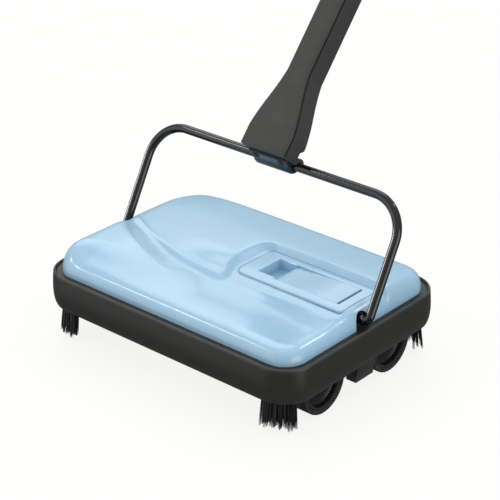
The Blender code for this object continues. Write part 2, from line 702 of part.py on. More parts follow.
def bristle_strip(start):
    """Ribbon of bristle standing off the core and twisting along it."""
    loops = []
    segments = 12
    for i in range(segments + 1):
        z = -BRUSH_HALF + 2 * BRUSH_HALF * i / segments
        angle = start + math.radians(100) * i / segments
        out = Vector((math.cos(angle), math.sin(angle)))
        side = Vector((-out.y, out.x))
        corners = []
        for radius, half in ((CORE_RADIUS + 0.4, -1.6), (BRUSH_RADIUS, -2.6), (BRUSH_RADIUS, 2.6),
                             (CORE_RADIUS + 0.4, 1.6)):
            point = out * math.sqrt(radius * radius - half * half) + side * half
            corners.append((point.x, point.y, z))
        loops.append(corners)
    return loft(loops)


# ---------------------------------------------------------------- dust pans

def pan_floor():
    """Outside of a pan in its own frame (inward from the hinge, height), skirt side to lip."""
    hinge = (PAN_HINGE_Y, PAN_HINGE_Z)
    points = [(-91.0, 38.0), (-90.2, 28.0), (-87.6, 21.5), (-83.0, 17.0), (-76.0, 14.8), (-36.0, 14.2),
              (-30.0, 15.4), (-26.8, 18.6)]
    return [(y + hinge[0], z - hinge[1]) for y, z in points]


def pan_inside():
    """Floor outline moved in by the skin's thickness."""
    outer = pan_floor()
    inner = []
    for i, (y, z) in enumerate(outer):
        before = Vector(outer[max(i - 1, 0)])
        after = Vector(outer[min(i + 1, len(outer) - 1)])
        along = (after - before).normalized()
        inner.append((y - along.y * PAN_SKIN, z + along.x * PAN_SKIN))
    return inner


def make_pan(name, pivot, tab_x):
    """Dust pan with end walls, hinge knuckles and the crank tab; inward is the pivot's +Y."""
    outer = pan_floor()
    inner = pan_inside()
    lip = inner[-1]
    pan = make_object(name, slab(outer + [lip, (outer[0][0] + PAN_SKIN, outer[0][1])],
                                 -PAN_HALF_X, PAN_HALF_X), "pan_grey", pivot)
    over = 30.0
    hollow = inner + [(lip[0] + 4.0, over), (inner[0][0], over)]
    cut(pan, slab(hollow, -PAN_HALF_X + PAN_SKIN, PAN_HALF_X - PAN_SKIN))
    for x in (-math.copysign(FAR_KNUCKLE_X, tab_x), tab_x):
        ends = (x - KNUCKLE_HALF, x + KNUCKLE_HALF)
        join(pan, rod(KNUCKLE_RADIUS, *ends, 16), rotation=along_x_axis())
        join(pan, box(ends, (0.0, 5.2), (-4.5, -0.6)))
    join(pan, box((tab_x - 4.6, tab_x + 4.6), (0.5, 17.0), (0.2, TAB_TOP - PAN_HINGE_Z)))
    cut(pan, rod(ROD_RADIUS + RUN, -PAN_HALF_X - 1, PAN_HALF_X + 1, 16), rotation=along_x_axis())


def make_pans(chassis):
    for name, side in (("front", -1), ("rear", 1)):
        turn = (0, 0, 0) if side < 0 else (0, 0, math.pi)
        centre = (0, side * PAN_HINGE_Y, PAN_HINGE_Z)
        pivot = make_empty(f"{name}_pan_hinge", centre, chassis, turn)
        make_pan(f"{name}_dust_pan", pivot, -side * sum(YOKE_X) / 2)
        make_object(f"{name}_hinge_rod", rod(ROD_RADIUS, -107.0, 107.0, 12), "bright_steel",
                    chassis, centre, along_x_axis())
        make_spring(f"{name}_pan_spring", chassis, centre)


def make_spring(name, parent, centre):
    """Torsion spring wound round the hinge rod."""
    turns = 5
    per_turn = 9
    pitch = 1.15
    mean_radius = 2.5
    curve = bpy.data.curves.new(name, "CURVE")
    curve.dimensions = "3D"
    curve.bevel_depth = 0.4 * MM
    curve.bevel_resolution = 1
    curve.use_fill_caps = True
    spline = curve.splines.new("POLY")
    spline.points.add(turns * per_turn)
    for i, point in enumerate(spline.points):
        angle = 2 * math.pi * i / per_turn
        x = 20.0 + pitch * i / per_turn
        position = Vector((x, mean_radius * math.cos(angle), mean_radius * math.sin(angle))) * MM
        point.co = (*position, 1.0)
    curve.materials.append(MATERIALS["bright_steel"])
    spring = bpy.data.objects.new(name, curve)
    bpy.context.collection.objects.link(spring)
    spring.parent = parent
    spring.location = Vector(centre) * MM


# ---------------------------------------------------------------- bail

def bail_route():
    """Wire's centreline in the bail's plane as (x, up the arm), left end to right end."""
    foot = 5.5
    inward = 121.5
    half = [(inward, 0.0)] + arc((BAIL_HALF_X - foot, foot), foot, -90, 0, 4)
    bend = arc((BAIL_HALF_X - BAIL_BEND, BAIL_REACH - BAIL_BEND), BAIL_BEND, 0, 90, 8)
    half += bend
    return [(-x, up) for x, up in half] + [(x, up) for x, up in reversed(half)]


def make_bail(handle):
    """Bent wire swept along its route in the bail's plane."""
    route = [Vector((x, 0.0, up)) for x, up in bail_route()]
    normal = Vector((0.0, 1.0, 0.0))
    loops = []
    for i, point in enumerate(route):
        before = route[max(i - 1, 0)]
        after = route[min(i + 1, len(route) - 1)]
        side = (after - before).normalized().cross(normal)
        loops.append([point + (side * math.cos(a) + normal * math.sin(a)) * WIRE_RADIUS
                      for a in (2 * math.pi * k / 12 for k in range(12))])
    make_object("bail_wire", loft(loops), "wire_black", handle, rotation=(-BAIL_LEAN, 0, 0))


# ---------------------------------------------------------------- handle

def socket_half_width(s):
    """Half width of the handle moulding up its length."""
    share = min(max((s - FLARE[0]) / (FLARE[1] - FLARE[0]), 0.0), 1.0)
    eased = share + 0.04 * math.sin(2 * math.pi * (share - 0.5))
    return SLEEVE_HALF + (STEM_HALF - SLEEVE_HALF) * eased


def socket_section(s, back):
    """Rounded rectangle across the pole at height s."""
    half = socket_half_width(s)
    middle = (back - SOCKET_DEPTH) / 2
    half_depth = (back + SOCKET_DEPTH) / 2
    outline = rounded_rect(half, half_depth, 3.0, 3)
    return [(x, y + middle, s) for x, y in outline]


def make_socket(pole):
    """Handle's lower moulding: broad foot over the crossbar, tapering to a slim stem."""
    loops = [socket_section(s, back) for s, back in ((-0.5, -4.5), (11.0, -4.5), (14.5, 0.0))]
    steps = 9
    for i in range(1, steps + 1):
        loops.append(socket_section(14.5 + (76.0 - 14.5) * i / steps, 0.0))
    loops.append(socket_section(SOCKET_TOP, 0.0))
    socket = make_object("handle_socket", loft(loops), "handle_black", pole)
    saddle = arc((0, 0), SLEEVE_RADIUS, 0, 180, 12)
    join(socket, slab(saddle, -SLEEVE_HALF, SLEEVE_HALF))
    cut(socket, rod(WIRE_RADIUS + GAP, -30.0, 30.0, 24), rotation=along_x_axis())
    cut(socket, rod(TUBE_RADIUS + GAP, TUBE_START - GAP, SOCKET_TOP + 1.0, 24), (0, POLE_AXIS_Y, 0))
    for x in CLIP_SCREWS:
        cut(socket, rod(SCREW_HOLE, -2.0, 8.0, 12), (x, CLIP_SCREW_Y, 0))


def make_clip(pole):
    """Cap that closes the saddle under the crossbar, screwed to the socket's foot."""
    outer = SLEEVE_RADIUS
    inner = WIRE_RADIUS + GAP
    top = -0.8
    outer_start = math.degrees(math.asin(-top / outer))
    inner_start = math.degrees(math.asin(-top / inner))
    outline = [(-17.0, top), (-17.0, -3.2), (-8.4, -4.4)]
    outline += arc((0, 0), outer, 180 + 48, 360 - outer_start, 10)
    outline += arc((0, 0), inner, 360 - inner_start, 180 + inner_start, 12)
    clip = make_object("bar_clip", slab(outline, -CLIP_HALF, CLIP_HALF), "handle_black", pole)
    for x in CLIP_SCREWS:
        cut(clip, rod(SCREW_HOLE, -9.0, 2.0, 12), (x, CLIP_SCREW_Y, 0))
        cut(clip, rod(3.6, -9.0, -3.0, 16), (x, CLIP_SCREW_Y, 0))
        make_object(f"clip_screw_{1 if x < 0 else 2}", screw(3.2, 1.8, 1.5, 9.0), "bright_steel",
                    pole, (x, CLIP_SCREW_Y, -3.0 - GAP))


def make_pole(pole):
    """Three thin tubes with a coupling sleeve over each joint."""
    for number in range(TUBE_COUNT):
        low = TUBE_START + number * (TUBE_LENGTH + GAP)
        body = tube(TUBE_RADIUS, TUBE_RADIUS - TUBE_WALL, low, low + TUBE_LENGTH)
        make_object(f"pole_tube_{number + 1}", body, "pole_black", pole, (0, POLE_AXIS_Y, 0))
        if number:
            sleeve = turned([(TUBE_RADIUS + GAP, low - COUPLER_LENGTH / 2),
                             (TUBE_RADIUS + 1.6, low - COUPLER_LENGTH / 2),
                             (TUBE_RADIUS + 2.4, low - COUPLER_LENGTH / 2 + 2.0),
                             (TUBE_RADIUS + 2.4, low + COUPLER_LENGTH / 2 - 2.0),
                             (TUBE_RADIUS + 1.6, low + COUPLER_LENGTH / 2),
                             (TUBE_RADIUS + GAP, low + COUPLER_LENGTH / 2)], 24, bored=True)
            make_object(f"pole_coupler_{number}", sleeve, "handle_black", pole, (0, POLE_AXIS_Y, 0))


def make_grip(pole):
    """Swelling hand grip over the top tube, and the end cap with its hanging loop."""
    profile = [(TUBE_RADIUS + GAP, GRIP_START), (11.5, GRIP_START), (13.0, GRIP_START + 2.0)]
    steps = 7
    length = GRIP_LENGTH - 8.0
    for i in range(steps + 1):
        share = i / steps
        profile.append((12.6 + 1.5 * math.sin(math.pi * share), GRIP_START + 4.0 + length * share))
    end = GRIP_START + GRIP_LENGTH
    profile += [(11.5, end), (TUBE_RADIUS + GAP, end)]
    make_object("hand_grip", turned(profile, 20, True), "handle_black", pole, (0, POLE_AXIS_Y, 0))
    cap_low = end + GAP
    cap = make_object("hang_cap", rod(LOOP_RADIUS, cap_low, cap_low + 5.0, 24), "handle_black", pole,
                      (0, POLE_AXIS_Y, 0))
    loop = [(-10.0, cap_low + 2.0), (10.0, cap_low + 2.0)]
    loop += arc((0, LOOP_CENTRE), LOOP_RADIUS, 0, 180, 16)
    lay = [[(x, y, s) for x, s in loop] for y in (-LOOP_HALF_THICK, LOOP_HALF_THICK)]
    join(cap, loft(lay), (0, POLE_AXIS_Y, 0))
    cut(cap, rod(6.5, -9.0, 9.0, 20), (0, POLE_AXIS_Y, LOOP_CENTRE), (math.radians(90), 0, 0))
    plug = TUBE_RADIUS - TUBE_WALL - GAP
    join(cap, rod(plug, cap_low - 14.0, cap_low + 1.0, 20), (0, POLE_AXIS_Y, 0))


def make_handle(chassis):
    handle = make_empty("bail_axis", (0, PIVOT_Y, PIVOT_Z), chassis)
    make_bail(handle)
    bar = (0, BAR_Y - PIVOT_Y, BAR_Z - PIVOT_Z)
    pole = make_empty("pole_frame", bar, handle, (-POLE_LEAN, 0, 0))
    make_socket(pole)
    make_clip(pole)
    make_pole(pole)
    make_grip(pole)


# ---------------------------------------------------------------- assembly

def build():
    chassis = make_empty("chassis_frame", (0, CHASSIS_Y, 0))
    make_bumper(chassis)
    make_cover(chassis)
    make_surround(chassis)
    paddle = make_empty("paddle_axis", (PADDLE_HINGE[0], 0, PADDLE_HINGE[1]), chassis)
    make_paddle(paddle)
    make_yoke(make_empty("yoke_slide", (0, 0, 0), chassis))
    make_deck(chassis)
    make_end_plates(chassis)
    make_cowl(chassis)
    make_bail_brackets(chassis)
    make_corner_brushes(chassis)
    make_deck_screws(chassis)
    make_wheels(chassis)
    make_brush(chassis)
    make_pans(chassis)
    make_handle(chassis)


clear_scene()
MATERIALS = make_materials()
build()
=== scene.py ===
"""Looks of the carpet sweeper: head, wire bail and push handle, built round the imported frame.

Shapes are in millimetres in the frame of their part, and a matrix turns them into metres.
Chassis frame: X along the head, +Y towards the person pushing, Z up, floor at Z = 0.
Pole frame: Z up the handle from the bail's crossbar, +Y out of the handle's underside.
"""

import json
import math
import random

import bmesh
import bpy
from mathutils import Matrix, Vector

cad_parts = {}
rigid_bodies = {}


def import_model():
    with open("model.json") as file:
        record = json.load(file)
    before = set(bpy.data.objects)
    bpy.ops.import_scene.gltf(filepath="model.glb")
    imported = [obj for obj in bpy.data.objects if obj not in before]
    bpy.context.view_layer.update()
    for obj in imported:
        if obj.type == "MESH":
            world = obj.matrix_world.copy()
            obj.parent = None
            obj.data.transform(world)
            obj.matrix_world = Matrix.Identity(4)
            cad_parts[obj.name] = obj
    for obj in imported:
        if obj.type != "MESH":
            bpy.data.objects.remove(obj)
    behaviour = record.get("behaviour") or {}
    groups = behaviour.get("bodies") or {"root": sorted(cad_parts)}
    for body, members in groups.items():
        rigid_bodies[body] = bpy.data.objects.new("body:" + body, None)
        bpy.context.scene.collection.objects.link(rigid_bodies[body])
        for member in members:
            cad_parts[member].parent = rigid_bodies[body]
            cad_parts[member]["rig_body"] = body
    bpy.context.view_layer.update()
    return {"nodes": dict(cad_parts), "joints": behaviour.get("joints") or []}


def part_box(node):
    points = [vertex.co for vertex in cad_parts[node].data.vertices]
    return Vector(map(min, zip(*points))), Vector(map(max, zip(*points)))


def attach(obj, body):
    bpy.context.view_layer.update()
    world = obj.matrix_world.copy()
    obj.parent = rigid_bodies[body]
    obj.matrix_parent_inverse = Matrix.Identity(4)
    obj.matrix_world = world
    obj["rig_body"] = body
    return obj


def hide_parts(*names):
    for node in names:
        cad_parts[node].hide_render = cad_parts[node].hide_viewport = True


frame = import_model()

MM = 0.001
SCALE = Matrix.Scale(MM, 4)

BUMPER_HALF = (145.0, 106.0)
BUMPER_RADIUS = 30.5
LEDGE_TOP = 62.0

COVER_INSET = 9.3
COVER_BASE = 62.3
COVER_SKIN = 2.2
COVER_LOW = 75.5
COVER_BAND = 77.2
COVER_SIDE = 79.0
COVER_HIGH = 84.6
COVER_CROWN = 0.8
COVER_SWELL = 11.0
COVER_VALLEY = 3.2
COVER_FALL = 6.0
COVER_CORNER_FALL = 6.0
COVER_TIP_FALL = 4.0
EDGE_ROUND = 14.0
EDGE_POWER = 2.4
STEP_WIDTH = 6.5
POCKET_FOOT = (7.4, 35.0)
POCKET_TOP = (-7.0, 38.6)
NOTCH_HALF = 9.2
NOTCH_CENTRE_Z = 67.1
PIVOT_Y = 0.5
CORNER_BRUSH_ANGLE = 68.0
CORNER_BRUSH_START = 6.0

PLATE_X = (8.0, 124.0)
PLATE_Y = (-16.0, 34.5)
PLATE_TOP = 80.0
PLATE_THICK = 2.0
PLATE_GAP = 0.25
WELL_X = (24.5, 43.6)
WELL_Y = (-4.0, 26.0)
WELL_FLOOR = 70.0
SLOT_X = (44.0, 115.0)
PADDLE_X = (44.2, 112.3)
PADDLE_Y = (-6.5, 26.5)
PADDLE_DIP = 2.0

WIRE_RADIUS = 4.0
BAIL_HALF_X = 140.6
BAIL_REACH = 102.5
BAIL_LEAN = math.radians(28.5)
BAIL_BEND = 33.3
POLE_LEAN = math.radians(40.0)
POLE_AXIS_Y = -13.5
SOCKET_DEPTH = 27.0
SOCKET_TOP = 190.0
SLEEVE_RADIUS = 7.5
SLEEVE_HALF = 24.3
STEM_HALF = 11.6
FLARE = (18.0, 74.0)
TUBE_RADIUS = 9.5
TUBE_WALL = 0.8
TUBE_LENGTH = 245.0
TUBE_START = 160.5
COUPLER_HALF = 12.0
GAP = 0.3

BRUSH_AXIS_Z = 26.0
BRISTLE_HALF_X = 98.0
PAN_HINGE = (95.5, 38.0)         # distance from the middle along Y, and height
PADDLE_HINGE = (110.5, 0.0, 76.0)
CLIP_SCREWS_X = (-14.0, 14.0)
CLIP_SCREWS_Y = -12.0
SMOOTH_ANGLE = 38.0              # degrees between faces where an edge turns sharp

WORLD_SPAN = (-0.35, 0.9)        # sine of elevation between which the room brightens
WORLD_LEVELS = (0.17, 0.86)      # its strength at the low and the high end of that span
KEY_STRENGTH = 0.8
RIGHT_STRENGTH = 1.5
FRONT_STRENGTH = 0.85
SPARK_STRENGTH = 0.2
GLINT_STRENGTH = 1.0
FLOOR_ALBEDO = (0.12, 0.12, 0.12)
FLOOR_GLOW = 0.87
FLOOR_HALF = 12.0                # metres
CAMERA_ANGLES = (40.9, 26.5)     # azimuth and elevation
CAMERA_OFFSET = (8.9, 80.8, 1496.4)  # right, up and back from the chassis's middle
CAMERA_LENS = 120.5


def chassis_frame():
    low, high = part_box("bumper_skirt")
    return Matrix.Translation((0.0, (low.y + high.y) / 2, 0.0)) @ SCALE


def bail_pivot():
    return Vector(next(j for j in frame["joints"] if j["name"] == "bail_pivot")["pos_m"])


def pole_frame():
    reach = BAIL_REACH * MM
    bar = bail_pivot() + Vector((0.0, reach * math.sin(BAIL_LEAN), reach * math.cos(BAIL_LEAN)))
    return Matrix.Translation(bar) @ Matrix.Rotation(-POLE_LEAN, 4, "X") @ SCALE


CHASSIS = chassis_frame()
POLE = pole_frame()
POLE_AXIS = POLE @ Matrix.Translation((0, POLE_AXIS_Y, 0))


# ---------------------------------------------------------------- materials

def finish(name, colour, roughness, metallic=0.0, coat=0.0, mottle=0.05, mottle_scale=25.0,
           smear=0.06, grain=1800.0, grain_depth=0.1, stretch=(1.0, 1.0, 1.0), wear=0.0, dust=0.0,
           specular=0.5):
    """Procedural material: mottled colour, uneven gloss, fine surface grain, paler worn edges."""
    material = bpy.data.materials.new(name)
    material.use_nodes = True
    nodes, links = material.node_tree.nodes, material.node_tree.links
    shader = nodes["Principled BSDF"]
    shader.inputs["Metallic"].default_value = metallic
    shader.inputs["Specular IOR Level"].default_value = specular
    shader.inputs["Coat Weight"].default_value = coat
    shader.inputs["Coat Roughness"].default_value = 0.08
    mapping = nodes.new("ShaderNodeMapping")
    mapping.inputs["Scale"].default_value = stretch
    links.new(nodes.new("ShaderNodeTexCoord").outputs["Object"], mapping.inputs["Vector"])

    def noise(scale, detail):
        node = nodes.new("ShaderNodeTexNoise")
        node.inputs["Scale"].default_value = scale
        node.inputs["Detail"].default_value = detail
        links.new(mapping.outputs["Vector"], node.inputs["Vector"])
        return node.outputs["Fac"]

    def mixed(factor, first, second):
        node = nodes.new("ShaderNodeMix")
        node.data_type = "RGBA"
        links.new(factor, node.inputs["Factor"])
        for socket, value in ((node.inputs["A"], first), (node.inputs["B"], second)):
            if isinstance(value, bpy.types.NodeSocket):
                links.new(value, socket)
            else:
                socket.default_value = (*value, 1.0)
        return node.outputs["Result"]

    def ranged(value, low, high, to_low, to_high):
        node = nodes.new("ShaderNodeMapRange")
        for socket, number in zip(node.inputs[1:5], (low, high, to_low, to_high)):
            socket.default_value = number
        links.new(value, node.inputs["Value"])
        return node.outputs["Result"]

    shades = [[min(channel * (1 + sign * mottle), 1.0) for channel in colour] for sign in (-1, 1)]
    base = mixed(ranged(noise(mottle_scale, 4.0), 0.3, 0.7, 0.0, 1.0), *shades)
    if wear:
        edge = ranged(nodes.new("ShaderNodeNewGeometry").outputs["Pointiness"], 0.51, 0.6, 0.0, wear)
        base = mixed(edge, base, [0.5 * channel + 0.25 for channel in colour])
    if dust:
        film = ranged(noise(mottle_scale * 3.0, 6.0), 0.45, 0.75, 0.0, dust)
        base = mixed(film, base, (0.42, 0.40, 0.37))
    links.new(base, shader.inputs["Base Color"])
    gloss = ranged(noise(mottle_scale * 2.5, 5.0), 0.3, 0.7,
                   max(roughness - smear, 0.02), roughness + smear)
    links.new(gloss, shader.inputs["Roughness"])
    bump = nodes.new("ShaderNodeBump")
    bump.inputs["Strength"].default_value = grain_depth
    bump.inputs["Distance"].default_value = 0.0002
    links.new(noise(grain, 3.0), bump.inputs["Height"])
    links.new(bump.outputs["Normal"], shader.inputs["Normal"])
    return material


BLUE = finish("blue_gloss", (0.355, 0.580, 0.765), 0.22, coat=0.25, mottle=0.015, smear=0.03,
              grain=700.0, grain_depth=0.03)
BUMPER = finish("bumper_charcoal", (0.029, 0.028, 0.0265), 0.36, mottle=0.08, smear=0.06,
                grain=2200.0, grain_depth=0.12, wear=0.3, specular=0.3)
HANDLE = finish("handle_matte", (0.046, 0.047, 0.044), 0.5, mottle=0.05, grain=2600.0,
                grain_depth=0.18, specular=0.35)
CLIP = finish("clip_blue_black", (0.016, 0.020, 0.026), 0.3, mottle=0.06, grain=2600.0,
              specular=0.4)
WIRE = finish("wire_gloss_black", (0.005, 0.005, 0.005), 0.09, specular=0.5, mottle=0.1, smear=0.03,
              grain=1200.0, grain_depth=0.03)
STEEL = finish("plated_steel", (0.30, 0.30, 0.31), 0.38, 0.9, mottle=0.12, mottle_scale=60.0,
               smear=0.1, grain=900.0, grain_depth=0.06, stretch=(0.15, 1.0, 1.0), dust=0.15)
BRIGHT = finish("bright_steel", (0.62, 0.62, 0.63), 0.22, 1.0, mottle=0.08, mottle_scale=120.0,
                smear=0.08, grain=3000.0, grain_depth=0.05)
BLACKED = finish("blacked_steel", (0.030, 0.030, 0.032), 0.35, 0.6, mottle=0.1, smear=0.06,
                 grain=2400.0)
TUBE = finish("tube_black", (0.045, 0.046, 0.048), 0.34, 0.6, mottle=0.08, mottle_scale=40.0,
              smear=0.05, grain=1500.0, grain_depth=0.06, stretch=(1.0, 0.08, 0.08))
GRIP = finish("grip_black", (0.030, 0.030, 0.031), 0.62, mottle=0.1, grain=3200.0,
              grain_depth=0.3)
BRISTLE = finish("bristle_black", (0.016, 0.015, 0.015), 0.42, mottle=0.6, mottle_scale=600.0,
                 grain=2500.0, stretch=(1.0, 1.0, 0.03))
RUBBER = finish("tyre_rubber", (0.008, 0.008, 0.008), 0.7, mottle=0.2, mottle_scale=80.0,
                grain=1600.0, grain_depth=0.35, dust=0.12)
HUB = finish("hub_plastic", (0.008, 0.008, 0.0085), 0.4, mottle=0.1, grain=2400.0, wear=0.2,
             specular=0.3)
PAN = finish("pan_grey", (0.085, 0.087, 0.092), 0.5, mottle=0.08, grain=2000.0, grain_depth=0.15,
             wear=0.3, dust=0.2)


# ---------------------------------------------------------------- mesh helpers

def place(name, bm, matrix, material, body, replaced=(), sharp=SMOOTH_ANGLE, bevel=0.0):
    """Make a piece from a mesh in millimetres, and say what it rides on and stands for."""
    bmesh.ops.recalc_face_normals(bm, faces=bm.faces)
    mesh = bpy.data.meshes.new(name)
    bm.to_mesh(mesh)
    bm.free()
    mesh.transform(matrix)
    mesh.shade_smooth()
    mesh.set_sharp_from_angle(angle=math.radians(sharp))
    mesh.materials.append(material)
    obj = bpy.data.objects.new(name, mesh)
    bpy.context.scene.collection.objects.link(obj)
    if bevel:
        add_bevel(obj, bevel)
    if body:
        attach(obj, body)
        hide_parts(*replaced)
    return obj


def add_bevel(obj, width):
    modifier = obj.modifiers.new("soft_edges", "BEVEL")
    modifier.width = width * MM
    modifier.segments = 2
    modifier.limit_method = "ANGLE"
    modifier.angle_limit = math.radians(SMOOTH_ANGLE)
    modifier.harden_normals = True


def combine(obj, bm, operation, matrix):
    """Cut from obj, or join to it, a tool shape in millimetres."""
    tool = place("tool", bm, matrix, obj.data.materials[0], None)
    modifier = obj.modifiers.new("combine", "BOOLEAN")
    modifier.object = tool
    modifier.operation = operation
    modifier.solver = "MANIFOLD"
    bpy.context.view_layer.update()
    evaluated = obj.evaluated_get(bpy.context.evaluated_depsgraph_get())
    mesh = bpy.data.meshes.new_from_object(evaluated)
    obj.modifiers.clear()
    old, obj.data = obj.data, mesh
    mesh.shade_smooth()
    mesh.set_sharp_from_angle(angle=math.radians(SMOOTH_ANGLE))
    bpy.data.meshes.remove(old)
    bpy.data.meshes.remove(tool.data)


def refined(node, material, width=0.35):
    """The CAD node's own shape with its edges softened, and a finished material."""
    source = frame["nodes"][node]
    bm = bmesh.new()
    bm.from_mesh(source.data)
    bmesh.ops.remove_doubles(bm, verts=bm.verts, dist=1e-5)
    bmesh.ops.dissolve_limit(bm, angle_limit=math.radians(0.5), verts=bm.verts, edges=bm.edges)
    return place(f"{node}.soft", bm, Matrix.Identity(4), material, source["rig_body"], [node],
                 bevel=width)


def loft(loops, ring=False):
    """Skin between loops of equal length, capped at both ends, or closed on itself as a ring."""
    bm = bmesh.new()
    rows = [[bm.verts.new(point) for point in loop] for loop in loops]
    pairs = list(zip(rows, rows[1:]))
    if ring:
        pairs.append((rows[-1], rows[0]))
    else:
        bm.faces.new(rows[0][::-1])
        bm.faces.new(rows[-1])
    for near, far in pairs:
        for i in range(len(near)):
            j = (i + 1) % len(near)
            bm.faces.new((near[i], near[j], far[j], far[i]))
    return bm


def arc(centre, radius, start, end, count):
    points = []
    for i in range(count + 1):
        angle = math.radians(start + (end - start) * i / count)
        points.append((centre[0] + radius * math.cos(angle), centre[1] + radius * math.sin(angle)))
    return points


def rounded_box(x, y, radii, count=8):
    """Outline of a box with its own radius at each corner, from the low corner round."""
    (x0, x1), (y0, y1) = x, y
    corners = ((x0, y0, 180, 1, 1), (x1, y0, 270, -1, 1), (x1, y1, 0, -1, -1), (x0, y1, 90, 1, -1))
    points = []
    for (cx, cy, start, sx, sy), radius in zip(corners, radii):
        points += arc((cx + sx * radius, cy + sy * radius), radius, start, start + 90, count)
    return points


def rounded_rect(half_x, half_y, radius, count=16):
    return rounded_box((-half_x, half_x), (-half_y, half_y), [radius] * 4, count)


def at_height(outline, z):
    return [(x, y, z) for x, y in outline]


def prism(outline, low, high):
    return loft([at_height(outline, z) for z in (low, high)])


def slab(outline, stations):
    """Extrude a (y, z) outline along X."""
    return loft([[(x, y, z) for y, z in outline] for x in stations])


def turned(profile, count=48, bored=False):
    """Solid turned round Z from (radius, z) pairs."""
    loops = []
    for radius, z in profile:
        loops.append([(radius * math.cos(a), radius * math.sin(a), z)
                      for a in (2 * math.pi * i / count for i in range(count))])
    return loft(loops, bored)


def along_x(x=0.0, y=0.0, z=0.0, side=1):
    """Frame whose Z runs along the chassis's X, outwards on that side."""
    return CHASSIS @ Matrix.Translation((x, y, z)) @ Matrix.Rotation(side * math.pi / 2, 4, "Y")


def swept(path, radius, count=24, start_side=Vector((0, 1, 0))):
    """Round bar along a path that stays in the plane square to start_side."""
    loops = []
    for i, point in enumerate(path):
        before, after = path[max(i - 1, 0)], path[min(i + 1, len(path) - 1)]
        side = (after - before).normalized().cross(start_side)
        loops.append([point + (side * math.cos(a) + start_side * math.sin(a)) * radius
                      for a in (2 * math.pi * k / count for k in range(count))])
    return loft(loops)


# ---------------------------------------------------------------- cover

def smooth(value):
    value = min(max(value, 0.0), 1.0)
    return value * value * (3 - 2 * value)


def edge_distance(x, y, half_x, half_y, radius):
    qx, qy = abs(x) - half_x + radius, abs(y) - half_y + radius
    outside = math.hypot(max(qx, 0.0), max(qy, 0.0))
    return radius - outside - min(max(qx, qy), 0.0)


def step_line(x):
    """Y of the step's middle, from its straight right part round to the left back."""
    sweep = max(-35.0 - x, 0.0) / 90.0
    return -34.0 + 32.0 * sweep ** 1.38


def beyond_corner(x, y, left, back, radius):
    """Distance outside the rounded back-left corner of an area open to the right and front."""
    past_left, past_back = left + radius - x, y - back + radius
    outside = math.hypot(max(past_left, 0.0), max(past_back, 0.0))
    return outside + min(max(past_left, past_back), 0.0) - radius


def pocket_slope(x, y):
    """0 on the pocket's floor, 1 on the raised part round it."""
    rim_left = POCKET_TOP[0] + 10.0 * smooth((-6.0 - y) / 22.0)
    foot_left = POCKET_FOOT[0] + 6.0 * smooth((-14.0 - y) / 16.0)
    from_foot = beyond_corner(x, y, foot_left, POCKET_FOOT[1], 4.0)
    to_top = -beyond_corner(x, y, rim_left, POCKET_TOP[1], 17.0)
    if from_foot <= 0.0:
        return 0.0
    if to_top <= 0.0:
        return 1.0
    return smooth(from_foot / (from_foot + to_top))


def cover_low(x, y):
    """Front of the cover, swelling towards its left end and dipping before the step."""
    front = -93.0 - 12.0 * smooth((-x - 100.0) / 30.0)
    swell = smooth((10.0 - x) / 110.0) * smooth((y - front) / 36.0)
    valley = smooth((-x - 20.0) / 60.0) * smooth(1.0 - abs(y - step_line(x) + 5.0) / 18.0)
    return COVER_LOW + COVER_SWELL * swell - COVER_VALLEY * valley


def cover_fall(x, y):
    """Drop of the raised part towards its back edge and back-left corner, and at its front tip."""
    back = max((y - 40.0) / 56.7, 0.0)
    end = max((-x - 70.0) / 65.7, 0.0) * smooth((y - 20.0) / 70.0)
    tip = smooth((x + 60.0) / 60.0) * smooth((5.0 - y) / 30.0)
    return COVER_FALL * back ** 2 + COVER_CORNER_FALL * end ** 2, COVER_TIP_FALL * tip


def cover_top(x, y):
    """Height of the cover before its edge is rounded off."""
    width = STEP_WIDTH + 5.0 * smooth((x + 90.0) / 60.0) + 20.0 * smooth((x - 40.0) / 80.0)
    rise = smooth((y - step_line(x)) / width + 0.5)
    level = COVER_BAND + (COVER_SIDE - COVER_BAND) * smooth((y + 17.0) / 9.0)
    back_fall, tip_fall = cover_fall(x, y)
    level += (COVER_HIGH - tip_fall - level) * pocket_slope(x, y)
    low = cover_low(x, y)
    crown = COVER_CROWN * (1.0 - (x / BUMPER_HALF[0]) ** 2)
    return low + crown + (level - low) * rise - back_fall


def cover_surface(x, y, half_x, half_y, radius, drop):
    inset = max(edge_distance(x, y, half_x, half_y, radius), 0.0)
    share = max(1.0 - inset / EDGE_ROUND, 0.0)
    rounding = (1.0 - share ** EDGE_POWER) ** (1.0 / EDGE_POWER)
    return COVER_BASE + (cover_top(x, y) - drop - COVER_BASE) * rounding


def spaced(half, middle):
    """Positions from -half to half, crowded towards both ends."""
    ends = [half - offset for offset in (0.0, 0.12, 0.4, 0.9, 1.7, 2.8, 4.2, 6.0, 8.5, 11.5, 15.0)]
    inner = ends[-1]
    return [-v for v in ends] + [inner * (2 * i / middle - 1) for i in range(1, middle)] + ends[::-1]


def cover_skin(inset, drop):
    half_x = BUMPER_HALF[0] - COVER_INSET - inset
    half_y = BUMPER_HALF[1] - COVER_INSET - inset
    radius = BUMPER_RADIUS - COVER_INSET - inset
    columns = []
    for x in spaced(half_x, 150):
        past = max(abs(x) - half_x + radius, 0.0)
        reach = half_y - radius + math.sqrt(max(radius * radius - past * past, 0.0))
        columns.append([(x, y, cover_surface(x, y, half_x, half_y, radius, drop))
                        for y in spaced(reach, 104)])
    return columns


def border(columns):
    loop = columns[0][:-1] + [column[-1] for column in columns[:-1]]
    return loop + columns[-1][:0:-1] + [column[0] for column in columns[:0:-1]]


